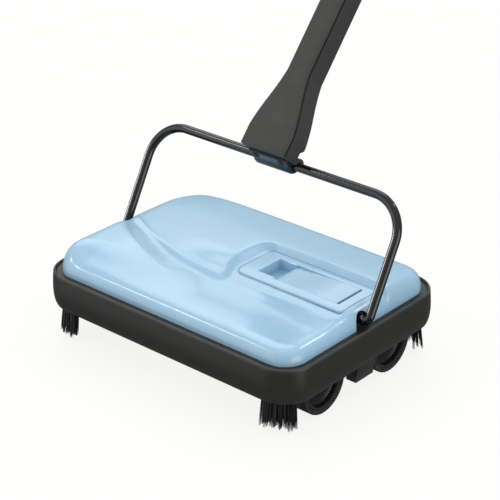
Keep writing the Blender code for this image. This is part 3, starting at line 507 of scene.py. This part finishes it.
def make_cover():
    bm = bmesh.new()
    edges = []
    for columns in (cover_skin(0.0, 0.0), cover_skin(COVER_SKIN, COVER_SKIN)):
        verts = [[bm.verts.new(point) for point in column] for column in columns]
        for left, right in zip(verts, verts[1:]):
            for j in range(len(left) - 1):
                bm.faces.new((left[j], right[j], right[j + 1], left[j + 1]))
        edges.append(border(verts))
    outer, inner = edges
    for i in range(len(outer)):
        j = (i + 1) % len(outer)
        bm.faces.new((outer[i], outer[j], inner[j], inner[i]))
    cover = place("cover_shell", bm, CHASSIS, BLUE, "chassis", ["top_cover"])
    combine(cover, opening_bead(), "UNION", CHASSIS)
    combine(cover, prism(plate_outline(PLATE_GAP), 66.0, 92.0), "DIFFERENCE", CHASSIS)
    arch = [(-NOTCH_HALF, 57.0), (NOTCH_HALF, 57.0)]
    arch += arc((0, NOTCH_CENTRE_Z), NOTCH_HALF, 0, 180, 24)
    arch = [(y + PIVOT_Y, z) for y, z in arch]
    for side in (-1, 1):
        combine(cover, slab(arch, (side * 113.0, side * 143.0)), "DIFFERENCE", CHASSIS)


def plate_outline(grow, count=10):
    x = (PLATE_X[0] - grow, PLATE_X[1] + grow)
    y = (PLATE_Y[0] - grow, PLATE_Y[1] + grow)
    return rounded_box(x, y, (9.0, 4.0, 4.0, 4.0), count)


def subdivided(outline, step):
    """Closed outline with its long sides split, so that it can follow a curved surface."""
    points = []
    for a, b in zip(outline, outline[1:] + outline[:1]):
        pieces = max(1, round(math.dist(a, b) / step))
        points += [(a[0] + (b[0] - a[0]) * i / pieces, a[1] + (b[1] - a[1]) * i / pieces)
                   for i in range(pieces)]
    return points


def opening_bead():
    """Soft rolled rim round the panel opening."""
    loops = []
    sizes = [BUMPER_HALF[0] - COVER_INSET, BUMPER_HALF[1] - COVER_INSET, BUMPER_RADIUS - COVER_INSET]
    section = [(-1.2, -1.6), (2.4, -1.6), (2.0, -0.35), (1.5, 0.1), (1.0, 0.25), (0.6, 0.2),
               (0.35, -0.05), (0.3, -0.4), (-1.2, -0.6)]
    route = subdivided(plate_outline(PLATE_GAP), 3.0)
    for i, (x, y) in enumerate(route):
        before, after = route[i - 1], route[(i + 1) % len(route)]
        along = Vector((after[0] - before[0], after[1] - before[1])).normalized()
        out = Vector((along.y, -along.x))
        z = cover_surface(x + out.x, y + out.y, *sizes, 0.0)
        loops.append([(x + out.x * a, y + out.y * a, z + b) for a, b in section])
    return loft(loops, ring=True)


# ---------------------------------------------------------------- bumper

def make_bumper():
    bulge = [(4.6, 30.2), (4.1, 30.4), (3.6, 30.9), (2.6, 32.2), (1.7, 34.2), (0.9, 37.0),
             (0.35, 40.5), (0.05, 44.5), (0.0, 48.0), (0.15, 52.0), (0.45, 56.5)]
    profile = bulge + [(0.75, 60.5), (0.85, 62.2), (1.0, 63.0), (1.4, 63.75), (1.95, 64.2),
                       (2.5, 64.2), (3.0, 63.9), (3.45, 63.2), (3.7, 62.5), (4.2, LEDGE_TOP),
                       (14.2, LEDGE_TOP), (14.5, 61.7), (14.5, 59.8), (14.2, 59.5), (3.6, 59.5)]
    profile += [(inset + 2.8, z + 0.3) for inset, z in reversed(bulge[1:])] + [(6.6, 30.2)]
    loops = []
    for inset, z in profile:
        outline = rounded_rect(BUMPER_HALF[0] - inset, BUMPER_HALF[1] - inset, BUMPER_RADIUS - inset)
        loops.append(at_height(outline, z))
    bumper = place("bumper_ring", loft(loops, ring=True), CHASSIS, BUMPER, "chassis",
                   ["bumper_skirt"])
    for side in (-1, 1):
        levels = ((15.5, 139.0, 11.6), (15.9, 139.3, 12.0), (34.2, 141.2, 12.0))
        ends = [sorted((side * 128.5, side * high)) for z, high, half in levels]
        loops = [at_height(rounded_box(end, (-half, half), [0.8] * 4, 4), z)
                 for end, (z, high, half) in zip(ends, levels)]
        combine(bumper, loft(loops), "UNION", CHASSIS)
    for side in (-1, 1):
        bore = turned([(6.3, 127.5), (6.3, 137.0)], 32)
        combine(bumper, bore, "DIFFERENCE", along_x(0, 0, BRUSH_AXIS_Z, side))


# ---------------------------------------------------------------- release panel

def paddle_hinge():
    """Frame whose Z runs along the paddle's pin."""
    turn = Matrix.Translation(PADDLE_HINGE) @ Matrix.Rotation(-math.pi / 2, 4, "X")
    return CHASSIS @ turn


def make_plate():
    low = PLATE_TOP - PLATE_THICK
    levels = ((0.0, low), (0.0, PLATE_TOP - 0.9), (0.12, PLATE_TOP - 0.45), (0.45, PLATE_TOP - 0.12),
              (0.9, PLATE_TOP))
    plate = place("panel_plate", loft([at_height(plate_outline(-inset), z) for inset, z in levels]),
                  CHASSIS, BLUE, "chassis", ["panel_surround"])
    wall = 1.2
    well = rounded_box((WELL_X[0] - wall, WELL_X[1]), (WELL_Y[0] - wall, WELL_Y[1] + wall), [1.5] * 4)
    combine(plate, prism(well, WELL_FLOOR - wall, low + 0.5), "UNION", CHASSIS)
    for x, y in ((14.0, -9.0), (14.0, 28.0), (119.0, -12.6), (119.0, 29.0)):
        post = turned([(2.5, 59.5), (2.5, low + 0.5)], 24)
        combine(plate, post, "UNION", CHASSIS @ Matrix.Translation((x, y, 0)))
    for y in (PADDLE_Y[0] - 2.9, PADDLE_Y[1] + 2.9):
        ear = rounded_box((107.0, 114.0), (y - 1.7, y + 1.7), [0.4] * 4, 3)
        combine(plate, prism(ear, 72.5, low + 0.5), "UNION", CHASSIS)
    reach = SLOT_X[0] + 0.05
    inside = rounded_box((WELL_X[0], reach), WELL_Y, [0.8, 0.2, 0.2, 0.8], 4)
    flared = [at_height(inside, WELL_FLOOR), at_height(inside, PLATE_TOP - 0.4),
              at_height(rounded_box((WELL_X[0] - 0.5, reach),
                                    (WELL_Y[0] - 0.5, WELL_Y[1] + 0.5), [1.3, 0.2, 0.2, 1.3], 4),
                        PLATE_TOP + 0.1)]
    combine(plate, loft(flared), "DIFFERENCE", CHASSIS)
    slot = rounded_box(SLOT_X, (PADDLE_Y[0] - 0.3, PADDLE_Y[1] + 0.3), [0.1, 0.6, 0.6, 0.1], 3)
    combine(plate, prism(slot, low - 1.0, PLATE_TOP + 1.0), "DIFFERENCE", CHASSIS)
    pin = turned([(1.27, PADDLE_Y[0] - 4.9), (1.27, PADDLE_Y[1] + 4.9)], 24)
    combine(plate, pin, "DIFFERENCE", paddle_hinge())


def make_paddle():
    x0, x1 = PADDLE_X
    flush = 92.0
    top = PLATE_TOP
    outline = [(x0, top - PADDLE_DIP - 5.0), (x0, top - PADDLE_DIP - 0.5),
               (x0 + 0.15, top - PADDLE_DIP - 0.15), (x0 + 0.5, top - PADDLE_DIP)]
    for i in range(1, 13):
        share = i / 12
        outline.append((x0 + 0.5 + (flush - x0 - 0.5) * share,
                        top - PADDLE_DIP * (1 - smooth(share))))
    outline += [(x1 - 0.5, top), (x1 - 0.15, top - 0.15), (x1, top - 0.5), (x1, top - PLATE_THICK),
                (flush, top - PLATE_THICK), (x0 + 1.3, top - PADDLE_DIP - PLATE_THICK),
                (x0 + 1.3, top - PADDLE_DIP - 5.0)]
    y0, y1 = PADDLE_Y
    bm = loft([[(x, y, z) for x, z in outline] for y in (y0, y1)])
    paddle = place("paddle_plate", bm, CHASSIS, BLUE, "paddle", ["release_paddle"])
    combine(paddle, prism(rounded_box((57.0, 63.0), (4.0, 16.0), [1.0] * 4, 4), 72.8, 77.3), "UNION",
            CHASSIS)
    combine(paddle, prism(rounded_box((108.5, 111.7), (y0 + 0.4, y1 - 0.4), [0.4] * 4, 3),
                          74.4, top - 1.0), "UNION", CHASSIS)
    combine(paddle, turned([(1.2, y0 - 4.3), (1.2, y1 + 4.3)], 24), "UNION", paddle_hinge())
    add_bevel(paddle, 0.25)


# ---------------------------------------------------------------- wheels, brush roll, bristles

def wheel_hub():
    return turned([(3.07, 0.5), (8.0, 0.5), (10.0, 6.5), (19.5, 6.5), (21.2, 0.5), (22.1, 0.5),
                   (22.1, 23.4), (21.8, 24.0), (21.2, 24.1), (20.4, 23.9), (19.7, 23.0), (19.2, 19.2),
                   (17.6, 18.3), (10.6, 17.4), (9.2, 17.8), (8.6, 20.4), (8.0, 21.0), (3.9, 21.0),
                   (3.07, 20.6)], 64, True)


def wheel_tyre():
    profile = [(22.4, 0.0), (25.4, 0.0), (26.2, 0.3), (26.6, 1.1)]
    for low in (4.5, 11.3, 18.1):
        profile += [(26.6, low), (26.1, low + 0.5), (26.1, low + 1.3), (26.6, low + 1.8)]
    profile += [(26.6, 23.2), (26.3, 24.0), (25.4, 24.5), (23.6, 24.5), (23.2, 24.1), (22.4, 24.1)]
    return turned(profile, 72, True)


def make_wheels():
    for end, side in (("left", -1), ("right", 1)):
        for place_name in ("front", "rear"):
            name = f"{place_name}_{end}"
            low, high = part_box(f"wheel_tyre_{name}")
            centre = (low + high) / 2
            face = min(abs(low.x), abs(high.x))
            spin = Matrix.Translation((side * face, centre.y, centre.z))
            spin = spin @ Matrix.Rotation(side * math.pi / 2, 4, "Y") @ SCALE
            place(f"hub_{name}", wheel_hub(), spin, HUB, f"wheel_{name}", [f"wheel_hub_{name}"])
            place(f"tyre_{name}", wheel_tyre(), spin, RUBBER, f"wheel_{name}",
                  [f"wheel_tyre_{name}"])


def strand(bm, root, tip, width, sides=4):
    """One tapered bristle from root to tip."""
    along = (tip - root).normalized()
    side = along.orthogonal().normalized()
    other = along.cross(side)
    rings = []
    for share, radius in ((0.0, width / 2), (0.8, width * 0.42), (1.0, width * 0.2)):
        centre = root.lerp(tip, share)
        rings.append([bm.verts.new(centre + (side * math.cos(a) + other * math.sin(a)) * radius)
                      for a in (2 * math.pi * k / sides for k in range(sides))])
    for near, far in zip(rings, rings[1:]):
        for k in range(sides):
            j = (k + 1) % sides
            bm.faces.new((near[k], near[j], far[j], far[k]))
    bm.faces.new(rings[0][::-1])
    bm.faces.new(rings[-1])


def brush_path(radius, share):
    """Foot of a bristle and the way out from the row, for the front right corner."""
    way = share * (CORNER_BRUSH_START + radius * math.radians(CORNER_BRUSH_ANGLE))
    if way < CORNER_BRUSH_START:
        return Vector((way - CORNER_BRUSH_START, -radius, 0.0)), Vector((0.0, -1.0, 0.0))
    turn = (way - CORNER_BRUSH_START) / radius
    out = Vector((math.sin(turn), -math.cos(turn), 0.0))
    return out * radius, out


def make_corner_brushes():
    centre_x, centre_y = BUMPER_HALF[0] - BUMPER_RADIUS, BUMPER_HALF[1] - BUMPER_RADIUS
    for row, sy in (("front", -1), ("rear", 1)):
        for end, sx in (("left", -1), ("right", 1)):
            draw = random.Random(f"{row}{end}")
            mirror = Matrix.Diagonal((sx, -sy, 1.0))
            outline = [brush_path(21.7, i / 30)[0] for i in range(31)]
            outline += [brush_path(14.3, i / 30)[0] for i in range(30, -1, -1)]
            bm = prism([(mirror @ point).xy for point in outline], 44.0, 57.3)
            for number, (radius, count) in enumerate(((15.6, 11), (17.9, 13), (20.1, 14))):
                for i in range(count):
                    foot, out = brush_path(radius, (i + 0.5) / count)
                    tip = foot + out * (1.4 + 1.2 * number + draw.uniform(0.0, 1.2))
                    tip += Vector((draw.uniform(-0.7, 0.7), draw.uniform(-0.7, 0.7), 0.0))
                    low = draw.uniform(3.4, 7.4)
                    foot, tip = mirror @ foot, mirror @ tip
                    foot.z, tip.z = 46.0, low
                    for k in range(7):
                        around = 2 * math.pi * k / 6
                        off = Vector((math.cos(around), math.sin(around), 0.0)) * (0.62 if k else 0.0)
                        end_off = off * 1.35 + Vector((0, 0, draw.uniform(0.0, 1.8)))
                        strand(bm, foot + off, tip + end_off, 0.62)
            at = CHASSIS @ Matrix.Translation((sx * centre_x, sy * centre_y, 0))
            place(f"tuft_{row}_{end}", bm, at, BRISTLE, "chassis", [f"corner_brush_{row}_{end}"],
                  sharp=60)


def make_brush_strips():
    for number in range(4):
        draw = random.Random(number)
        bm = bmesh.new()
        start = number * math.pi / 2
        tufts = 62
        for i in range(tufts):
            share = i / (tufts - 1)
            x = -BRISTLE_HALF_X + 2 * BRISTLE_HALF_X * share
            angle = start + math.radians(100) * share
            for row in (-1, 1):
                root_angle = angle + row * 0.11
                for _ in range(5):
                    spread = draw.uniform(-0.05, 0.05)
                    reach = draw.uniform(22.6, 23.9)
                    root = Vector((x + draw.uniform(-0.8, 0.8), 9.2 * math.cos(root_angle),
                                   9.2 * math.sin(root_angle)))
                    tip_angle = root_angle * 0.35 + angle * 0.65 + spread
                    tip = Vector((root.x + draw.uniform(-1.0, 1.0), reach * math.cos(tip_angle),
                                  reach * math.sin(tip_angle)))
                    strand(bm, root, tip, 0.55, 3)
        place(f"brush_row_{number + 1}", bm, CHASSIS @ Matrix.Translation((0, 0, BRUSH_AXIS_Z)),
              BRISTLE, "brush", [f"bristle_strip_{number + 1}"], sharp=60)


# ---------------------------------------------------------------- screws and springs

def screw_bm(radius, head, shank, length):
    """Pan-head screw pointing up Z; the cross recess in its head is cut afterwards."""
    return turned([(radius * 0.35, -head), (radius * 0.7, -head * 0.9), (radius * 0.93, -head * 0.6),
                   (radius, -head * 0.25), (radius, 0.0), (shank, 0.0), (shank, length)], 32)


def make_screw(node, radius, head, shank, length, matrix, body, material=BRIGHT):
    piece = place(f"{node}.cross", screw_bm(radius, head, shank, length), matrix, material, body,
                  [node])
    for x, y in ((radius * 0.55, 0.42), (0.42, radius * 0.55)):
        recess = prism(rounded_box((-x, x), (-y, y), [0.1] * 4, 1), -head - 1.0, -head * 0.35)
        combine(piece, recess, "DIFFERENCE", matrix)


def make_screws():
    for number in range(1, 5):
        low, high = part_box(f"deck_screw_{number}")
        middle = (low + high) / 2
        matrix = Matrix.Translation((middle.x, middle.y, low.z + 2.0 * MM)) @ SCALE
        make_screw(f"deck_screw_{number}", 3.3, 2.0, 1.5, 4.4, matrix, "chassis")
    for number, x in enumerate(CLIP_SCREWS_X, 1):
        make_screw(f"clip_screw_{number}", 3.2, 1.8, 1.5, 9.0,
                   POLE @ Matrix.Translation((x, CLIP_SCREWS_Y, -3.3)), "handle", BLACKED)


def make_springs():
    start, pitch, coil_radius, wire_radius = 20.0, 1.15, 2.5, 0.4
    turns, per_turn = 5, 24
    away, height = PAN_HINGE
    for row, y in (("front", -away), ("rear", away)):
        loops = []
        for i in range(turns * per_turn + 1):
            angle = 2 * math.pi * i / per_turn
            point = Vector((start + pitch * i / per_turn, coil_radius * math.cos(angle),
                            coil_radius * math.sin(angle)))
            out = Vector((0.0, point.y, point.z)).normalized()
            along = Vector((1.0, 0.0, 0.0))
            loops.append([point + (out * math.cos(a) + along * math.sin(a)) * wire_radius
                          for a in (2 * math.pi * k / 8 for k in range(8))])
        place(f"{row}_coil", loft(loops), CHASSIS @ Matrix.Translation((0, y, height)), BRIGHT,
              "chassis", [f"{row}_pan_spring"])


# ---------------------------------------------------------------- bail and handle

def bail_route():
    foot = 5.5
    half = [(121.5, 0.0)] + arc((BAIL_HALF_X - foot, foot), foot, -90, 0, 12)
    half += arc((BAIL_HALF_X - BAIL_BEND, BAIL_REACH - BAIL_BEND), BAIL_BEND, 0, 90, 32)
    both = [(-x, up) for x, up in half] + [(x, up) for x, up in reversed(half)]
    return [Vector((x, 0.0, up)) for x, up in both]


def make_bail():
    matrix = Matrix.Translation(bail_pivot()) @ Matrix.Rotation(-BAIL_LEAN, 4, "X") @ SCALE
    return place("bail_bar", swept(bail_route(), WIRE_RADIUS, 32), matrix, WIRE, "handle",
                 ["bail_wire"])


def socket_half(s):
    share = min(max((s - FLARE[0]) / (FLARE[1] - FLARE[0]), 0.0), 1.0)
    eased = share + 0.04 * math.sin(2 * math.pi * (share - 0.5))
    return SLEEVE_HALF + (STEM_HALF - SLEEVE_HALF) * eased


def socket_section(s, back, inset=0.0):
    """Section with a narrow groove where the front plate meets the sides."""
    half, front, rear = socket_half(s) - inset, -SOCKET_DEPTH + inset, back - inset
    groove = -SOCKET_DEPTH + 1.7
    right = [(half - 1.3, front), (half - 0.5, front + 0.2), (half - 0.12, front + 0.65),
             (half, front + 1.3), (half, groove), (half - 2.0, groove + 0.3),
             (half - 2.0, groove + 2.0), (half, groove + 2.3)]
    right += arc((half - 3.0, rear - 3.0), 3.0, 0, 90, 6)
    left = [(-x, y) for x, y in reversed(right)]
    return [(x, y, s) for x, y in right + left]


def make_socket():
    stations = [(-0.5, -4.5, 0.5), (-0.3, -4.5, 0.15), (0.2, -4.5, 0.0), (11.0, -4.5, 0.0),
                (12.0, -3.2, 0.0), (13.2, -1.3, 0.0), (14.5, 0.0, 0.0)]
    steps = 42
    stations += [(14.5 + 66.0 * i / steps, 0.0, 0.0) for i in range(1, steps + 1)]
    stations += [(SOCKET_TOP - 0.4, 0.0, 0.0), (SOCKET_TOP, 0.0, 0.4)]
    socket = place("handle_body", loft([socket_section(*station) for station in stations]), POLE,
                   HANDLE, "handle", ["handle_socket"])
    saddle = arc((0, 0), SLEEVE_RADIUS, 0, 180, 32)
    combine(socket, slab(saddle, (-SLEEVE_HALF, SLEEVE_HALF)), "UNION", POLE)
    bar = POLE @ Matrix.Rotation(math.pi / 2, 4, "Y")
    combine(socket, turned([(4.3, -30.0), (4.3, 30.0)], 48), "DIFFERENCE", bar)
    tube = turned([(TUBE_RADIUS + GAP, TUBE_START - GAP), (TUBE_RADIUS + GAP, SOCKET_TOP + 1.0)], 48)
    combine(socket, tube, "DIFFERENCE", POLE_AXIS)
    for x in CLIP_SCREWS_X:
        combine(socket, turned([(1.8, -2.0), (1.8, 8.0)], 24), "DIFFERENCE",
                POLE @ Matrix.Translation((x, CLIP_SCREWS_Y, 0)))


def clip_section(x, inset):
    outer, inner = SLEEVE_RADIUS - inset, WIRE_RADIUS + GAP
    top = -0.8
    outer_start = math.degrees(math.asin(-top / outer))
    inner_start = math.degrees(math.asin(-top / inner))
    outline = [(-17.0 + inset, top), (-17.0 + inset, -3.2 + inset * 0.5), (-8.4, -4.4 + inset * 0.6)]
    outline += arc((0, 0), outer, 180 + 48, 360 - outer_start, 20)
    outline += arc((0, 0), inner, 360 - inner_start, 180 + inner_start, 24)
    return [(x, y, z) for y, z in outline]


def make_clip():
    loops = [clip_section(x, inset) for x, inset in ((-21.0, 1.4), (-20.7, 0.9), (-18.6, 0.0),
                                                     (18.6, 0.0), (20.7, 0.9), (21.0, 1.4))]
    clip = place("bar_cap", loft(loops), POLE, CLIP, "handle", ["bar_clip"])
    for x in CLIP_SCREWS_X:
        at = POLE @ Matrix.Translation((x, CLIP_SCREWS_Y, 0))
        combine(clip, turned([(1.8, -9.0), (1.8, 2.0)], 24), "DIFFERENCE", at)
        combine(clip, turned([(3.6, -9.0), (3.6, -3.0)], 32), "DIFFERENCE", at)


def make_pole():
    inner = TUBE_RADIUS - TUBE_WALL
    for number in range(3):
        low = TUBE_START + number * (TUBE_LENGTH + GAP)
        high = low + TUBE_LENGTH
        profile = [(TUBE_RADIUS - 0.2, low), (TUBE_RADIUS, low + 0.2), (TUBE_RADIUS, high - 0.2),
                   (TUBE_RADIUS - 0.2, high), (inner, high), (inner, low)]
        place(f"tube_{number + 1}", turned(profile, 56, True), POLE_AXIS, TUBE, "handle",
              [f"pole_tube_{number + 1}"])
    for number in (1, 2):
        middle = TUBE_START + number * (TUBE_LENGTH + GAP)
        out = TUBE_RADIUS + 2.4
        half = COUPLER_HALF
        profile = [(TUBE_RADIUS + GAP, -half), (TUBE_RADIUS + 1.5, -half), (out - 0.2, -half + 1.4),
                   (out, -half + 2.2), (out, -3.0), (out - 0.5, -2.6), (out - 0.5, -1.9),
                   (out, -1.5), (out, 1.5), (out - 0.5, 1.9), (out - 0.5, 2.6), (out, 3.0),
                   (out, half - 2.2), (out - 0.2, half - 1.4), (TUBE_RADIUS + 1.5, half),
                   (TUBE_RADIUS + GAP, half)]
        place(f"coupler_{number}", turned(profile, 56, True),
              POLE_AXIS @ Matrix.Translation((0, 0, middle)), HANDLE, "handle",
              [f"pole_coupler_{number}"])


def make_grip():
    inverse = POLE_AXIS.inverted()
    heights = [(inverse @ vert.co).z for vert in frame["nodes"]["hand_grip"].data.vertices]
    start, end = min(heights), max(heights)
    profile = [(TUBE_RADIUS + GAP, start), (11.3, start), (12.6, start + 0.8), (13.0, start + 2.0),
               (12.6, start + 3.6)]
    ribs = 26
    for i in range(ribs):
        centre = start + 9.0 + (end - start - 18.0) * (i + 0.5) / ribs
        share = (centre - start) / (end - start)
        radius = 12.5 + 1.5 * math.sin(math.pi * share)
        profile += [(radius - 0.7, centre - 1.75), (radius - 0.15, centre - 1.2),
                    (radius, centre - 0.6), (radius, centre + 0.6), (radius - 0.15, centre + 1.2)]
    profile += [(12.4, end - 5.0), (12.2, end - 2.0), (11.4, end), (TUBE_RADIUS + GAP, end)]
    place("ribbed_grip", turned(profile, 56, True), POLE_AXIS, GRIP, "handle", ["hand_grip"])
    refined("hang_cap", HANDLE, 0.9)


# ---------------------------------------------------------------- carried-over parts

def make_plain_parts():
    for node in ("deck_plate", "end_plate_left", "end_plate_right", "brush_cowl"):
        refined(node, STEEL, 0.25)
    for node in ("front_dust_pan", "rear_dust_pan", "release_yoke"):
        refined(node, PAN, 0.3)
    for node in ("bail_bracket_left", "bail_bracket_right"):
        refined(node, BUMPER, 0.5)
    for names, material in (
        (("brush_core", "brush_bush_left", "brush_bush_right"), PAN),
        (("drive_drum_left", "drive_drum_right"), RUBBER),
        (("front_hinge_rod", "rear_hinge_rod", "wheel_axle_front_left", "wheel_axle_front_right",
          "wheel_axle_rear_left", "wheel_axle_rear_right"), BRIGHT),
    ):
        for name in names:
            for slot in frame["nodes"][name].material_slots:
                slot.material = material


# ---------------------------------------------------------------- camera, floor and light

def camera_axes(azimuth, elevation):
    a, e = math.radians(azimuth), math.radians(elevation)
    right = Vector((math.cos(a), math.sin(a), 0.0))
    back = Vector((math.sin(a) * math.cos(e), -math.cos(a) * math.cos(e), math.sin(e)))
    return right, back.cross(right), back


def make_camera():
    axes = camera_axes(*CAMERA_ANGLES)
    data = bpy.data.cameras.new("camera")
    data.lens = CAMERA_LENS
    data.sensor_width = 36.0
    data.clip_end = 50.0
    camera = bpy.data.objects.new("camera", data)
    camera.matrix_world = Matrix(axes).transposed().to_4x4()
    away = sum((axis * amount for axis, amount in zip(axes, CAMERA_OFFSET)), Vector())
    camera.location = CHASSIS.translation + away * MM
    bpy.context.scene.collection.objects.link(camera)
    bpy.context.scene.camera = camera


def sun(name, direction, strength, angle, only_on=None):
    """Soft directional light that comes from the given direction, on one piece or on all."""
    data = bpy.data.lights.new(name, "SUN")
    data.energy = strength
    data.angle = math.radians(angle)
    light = bpy.data.objects.new(name, data)
    if only_on:
        lit = bpy.data.collections.new(name)
        lit.objects.link(only_on)
        light.light_linking.receiver_collection = lit
    light.rotation_mode = "QUATERNION"
    light.rotation_quaternion = Vector(direction).to_track_quat("Z", "Y")
    bpy.context.scene.collection.objects.link(light)


def make_world():
    """Pale room that is brighter overhead, behind a plain white backdrop."""
    world = bpy.data.worlds.new("studio")
    world.use_nodes = True
    nodes, links = world.node_tree.nodes, world.node_tree.links
    split = nodes.new("ShaderNodeSeparateXYZ")
    links.new(nodes.new("ShaderNodeTexCoord").outputs["Generated"], split.inputs["Vector"])
    ramp = nodes.new("ShaderNodeMapRange")
    for socket, number in zip(ramp.inputs[1:5], (*WORLD_SPAN, *WORLD_LEVELS)):
        socket.default_value = number
    links.new(split.outputs["Z"], ramp.inputs["Value"])
    links.new(ramp.outputs["Result"], nodes["Background"].inputs["Strength"])
    room = nodes["Background"]
    room.inputs["Color"].default_value = (1.0, 1.0, 0.995, 1.0)
    backdrop = nodes.new("ShaderNodeBackground")
    backdrop.inputs["Color"].default_value = (1.0, 1.0, 0.995, 1.0)
    shown = nodes.new("ShaderNodeMixShader")
    links.new(nodes.new("ShaderNodeLightPath").outputs["Is Camera Ray"], shown.inputs["Fac"])
    links.new(room.outputs["Background"], shown.inputs[1])
    links.new(backdrop.outputs["Background"], shown.inputs[2])
    links.new(shown.outputs["Shader"], nodes["World Output"].inputs["Surface"])
    bpy.context.scene.world = world
    bpy.context.scene.view_settings.view_transform = "Standard"


def make_floor():
    half = FLOOR_HALF
    bm = bmesh.new()
    bm.faces.new([bm.verts.new((x, y, 0.0)) for x, y in ((-half, -half), (half, -half),
                                                         (half, half), (-half, half))])
    mesh = bpy.data.meshes.new("floor")
    bm.to_mesh(mesh)
    bm.free()
    paper = finish("floor_paper", FLOOR_ALBEDO, 0.8, mottle=0.004, mottle_scale=3.0, grain=400.0,
                   grain_depth=0.02)
    shader = paper.node_tree.nodes["Principled BSDF"]
    shader.inputs["Emission Color"].default_value = (1.0, 1.0, 0.99, 1.0)
    shader.inputs["Emission Strength"].default_value = FLOOR_GLOW
    shader.inputs["Specular IOR Level"].default_value = 0.0
    mesh.materials.append(paper)
    floor = bpy.data.objects.new("floor", mesh)
    bpy.context.scene.collection.objects.link(floor)
    floor.visible_diffuse = floor.visible_glossy = False


make_camera()
make_world()
make_floor()
sun("key_light", (-0.5, 0.45, 0.75), KEY_STRENGTH, 45.0)
sun("right_fill", (1.0, 0.0, 0.05), RIGHT_STRENGTH, 50.0)
sun("front_fill", (-0.6, -0.8, 0.1), FRONT_STRENGTH, 60.0)
sun("left_spark", (-0.59, -0.42, 0.65), SPARK_STRENGTH, 7.0)
sun("back_spark", (0.2, 0.68, 0.71), SPARK_STRENGTH, 7.0)
make_cover()
make_bumper()
make_plate()
make_paddle()
make_wheels()
make_corner_brushes()
make_brush_strips()
make_screws()
make_springs()
bail = make_bail()
sun("bail_glint", (-0.9, -0.4, 0.15), GLINT_STRENGTH, 14.0, only_on=bail)
make_socket()
make_clip()
make_pole()
make_grip()
make_plain_parts()

bpy.context.view_layer.update()
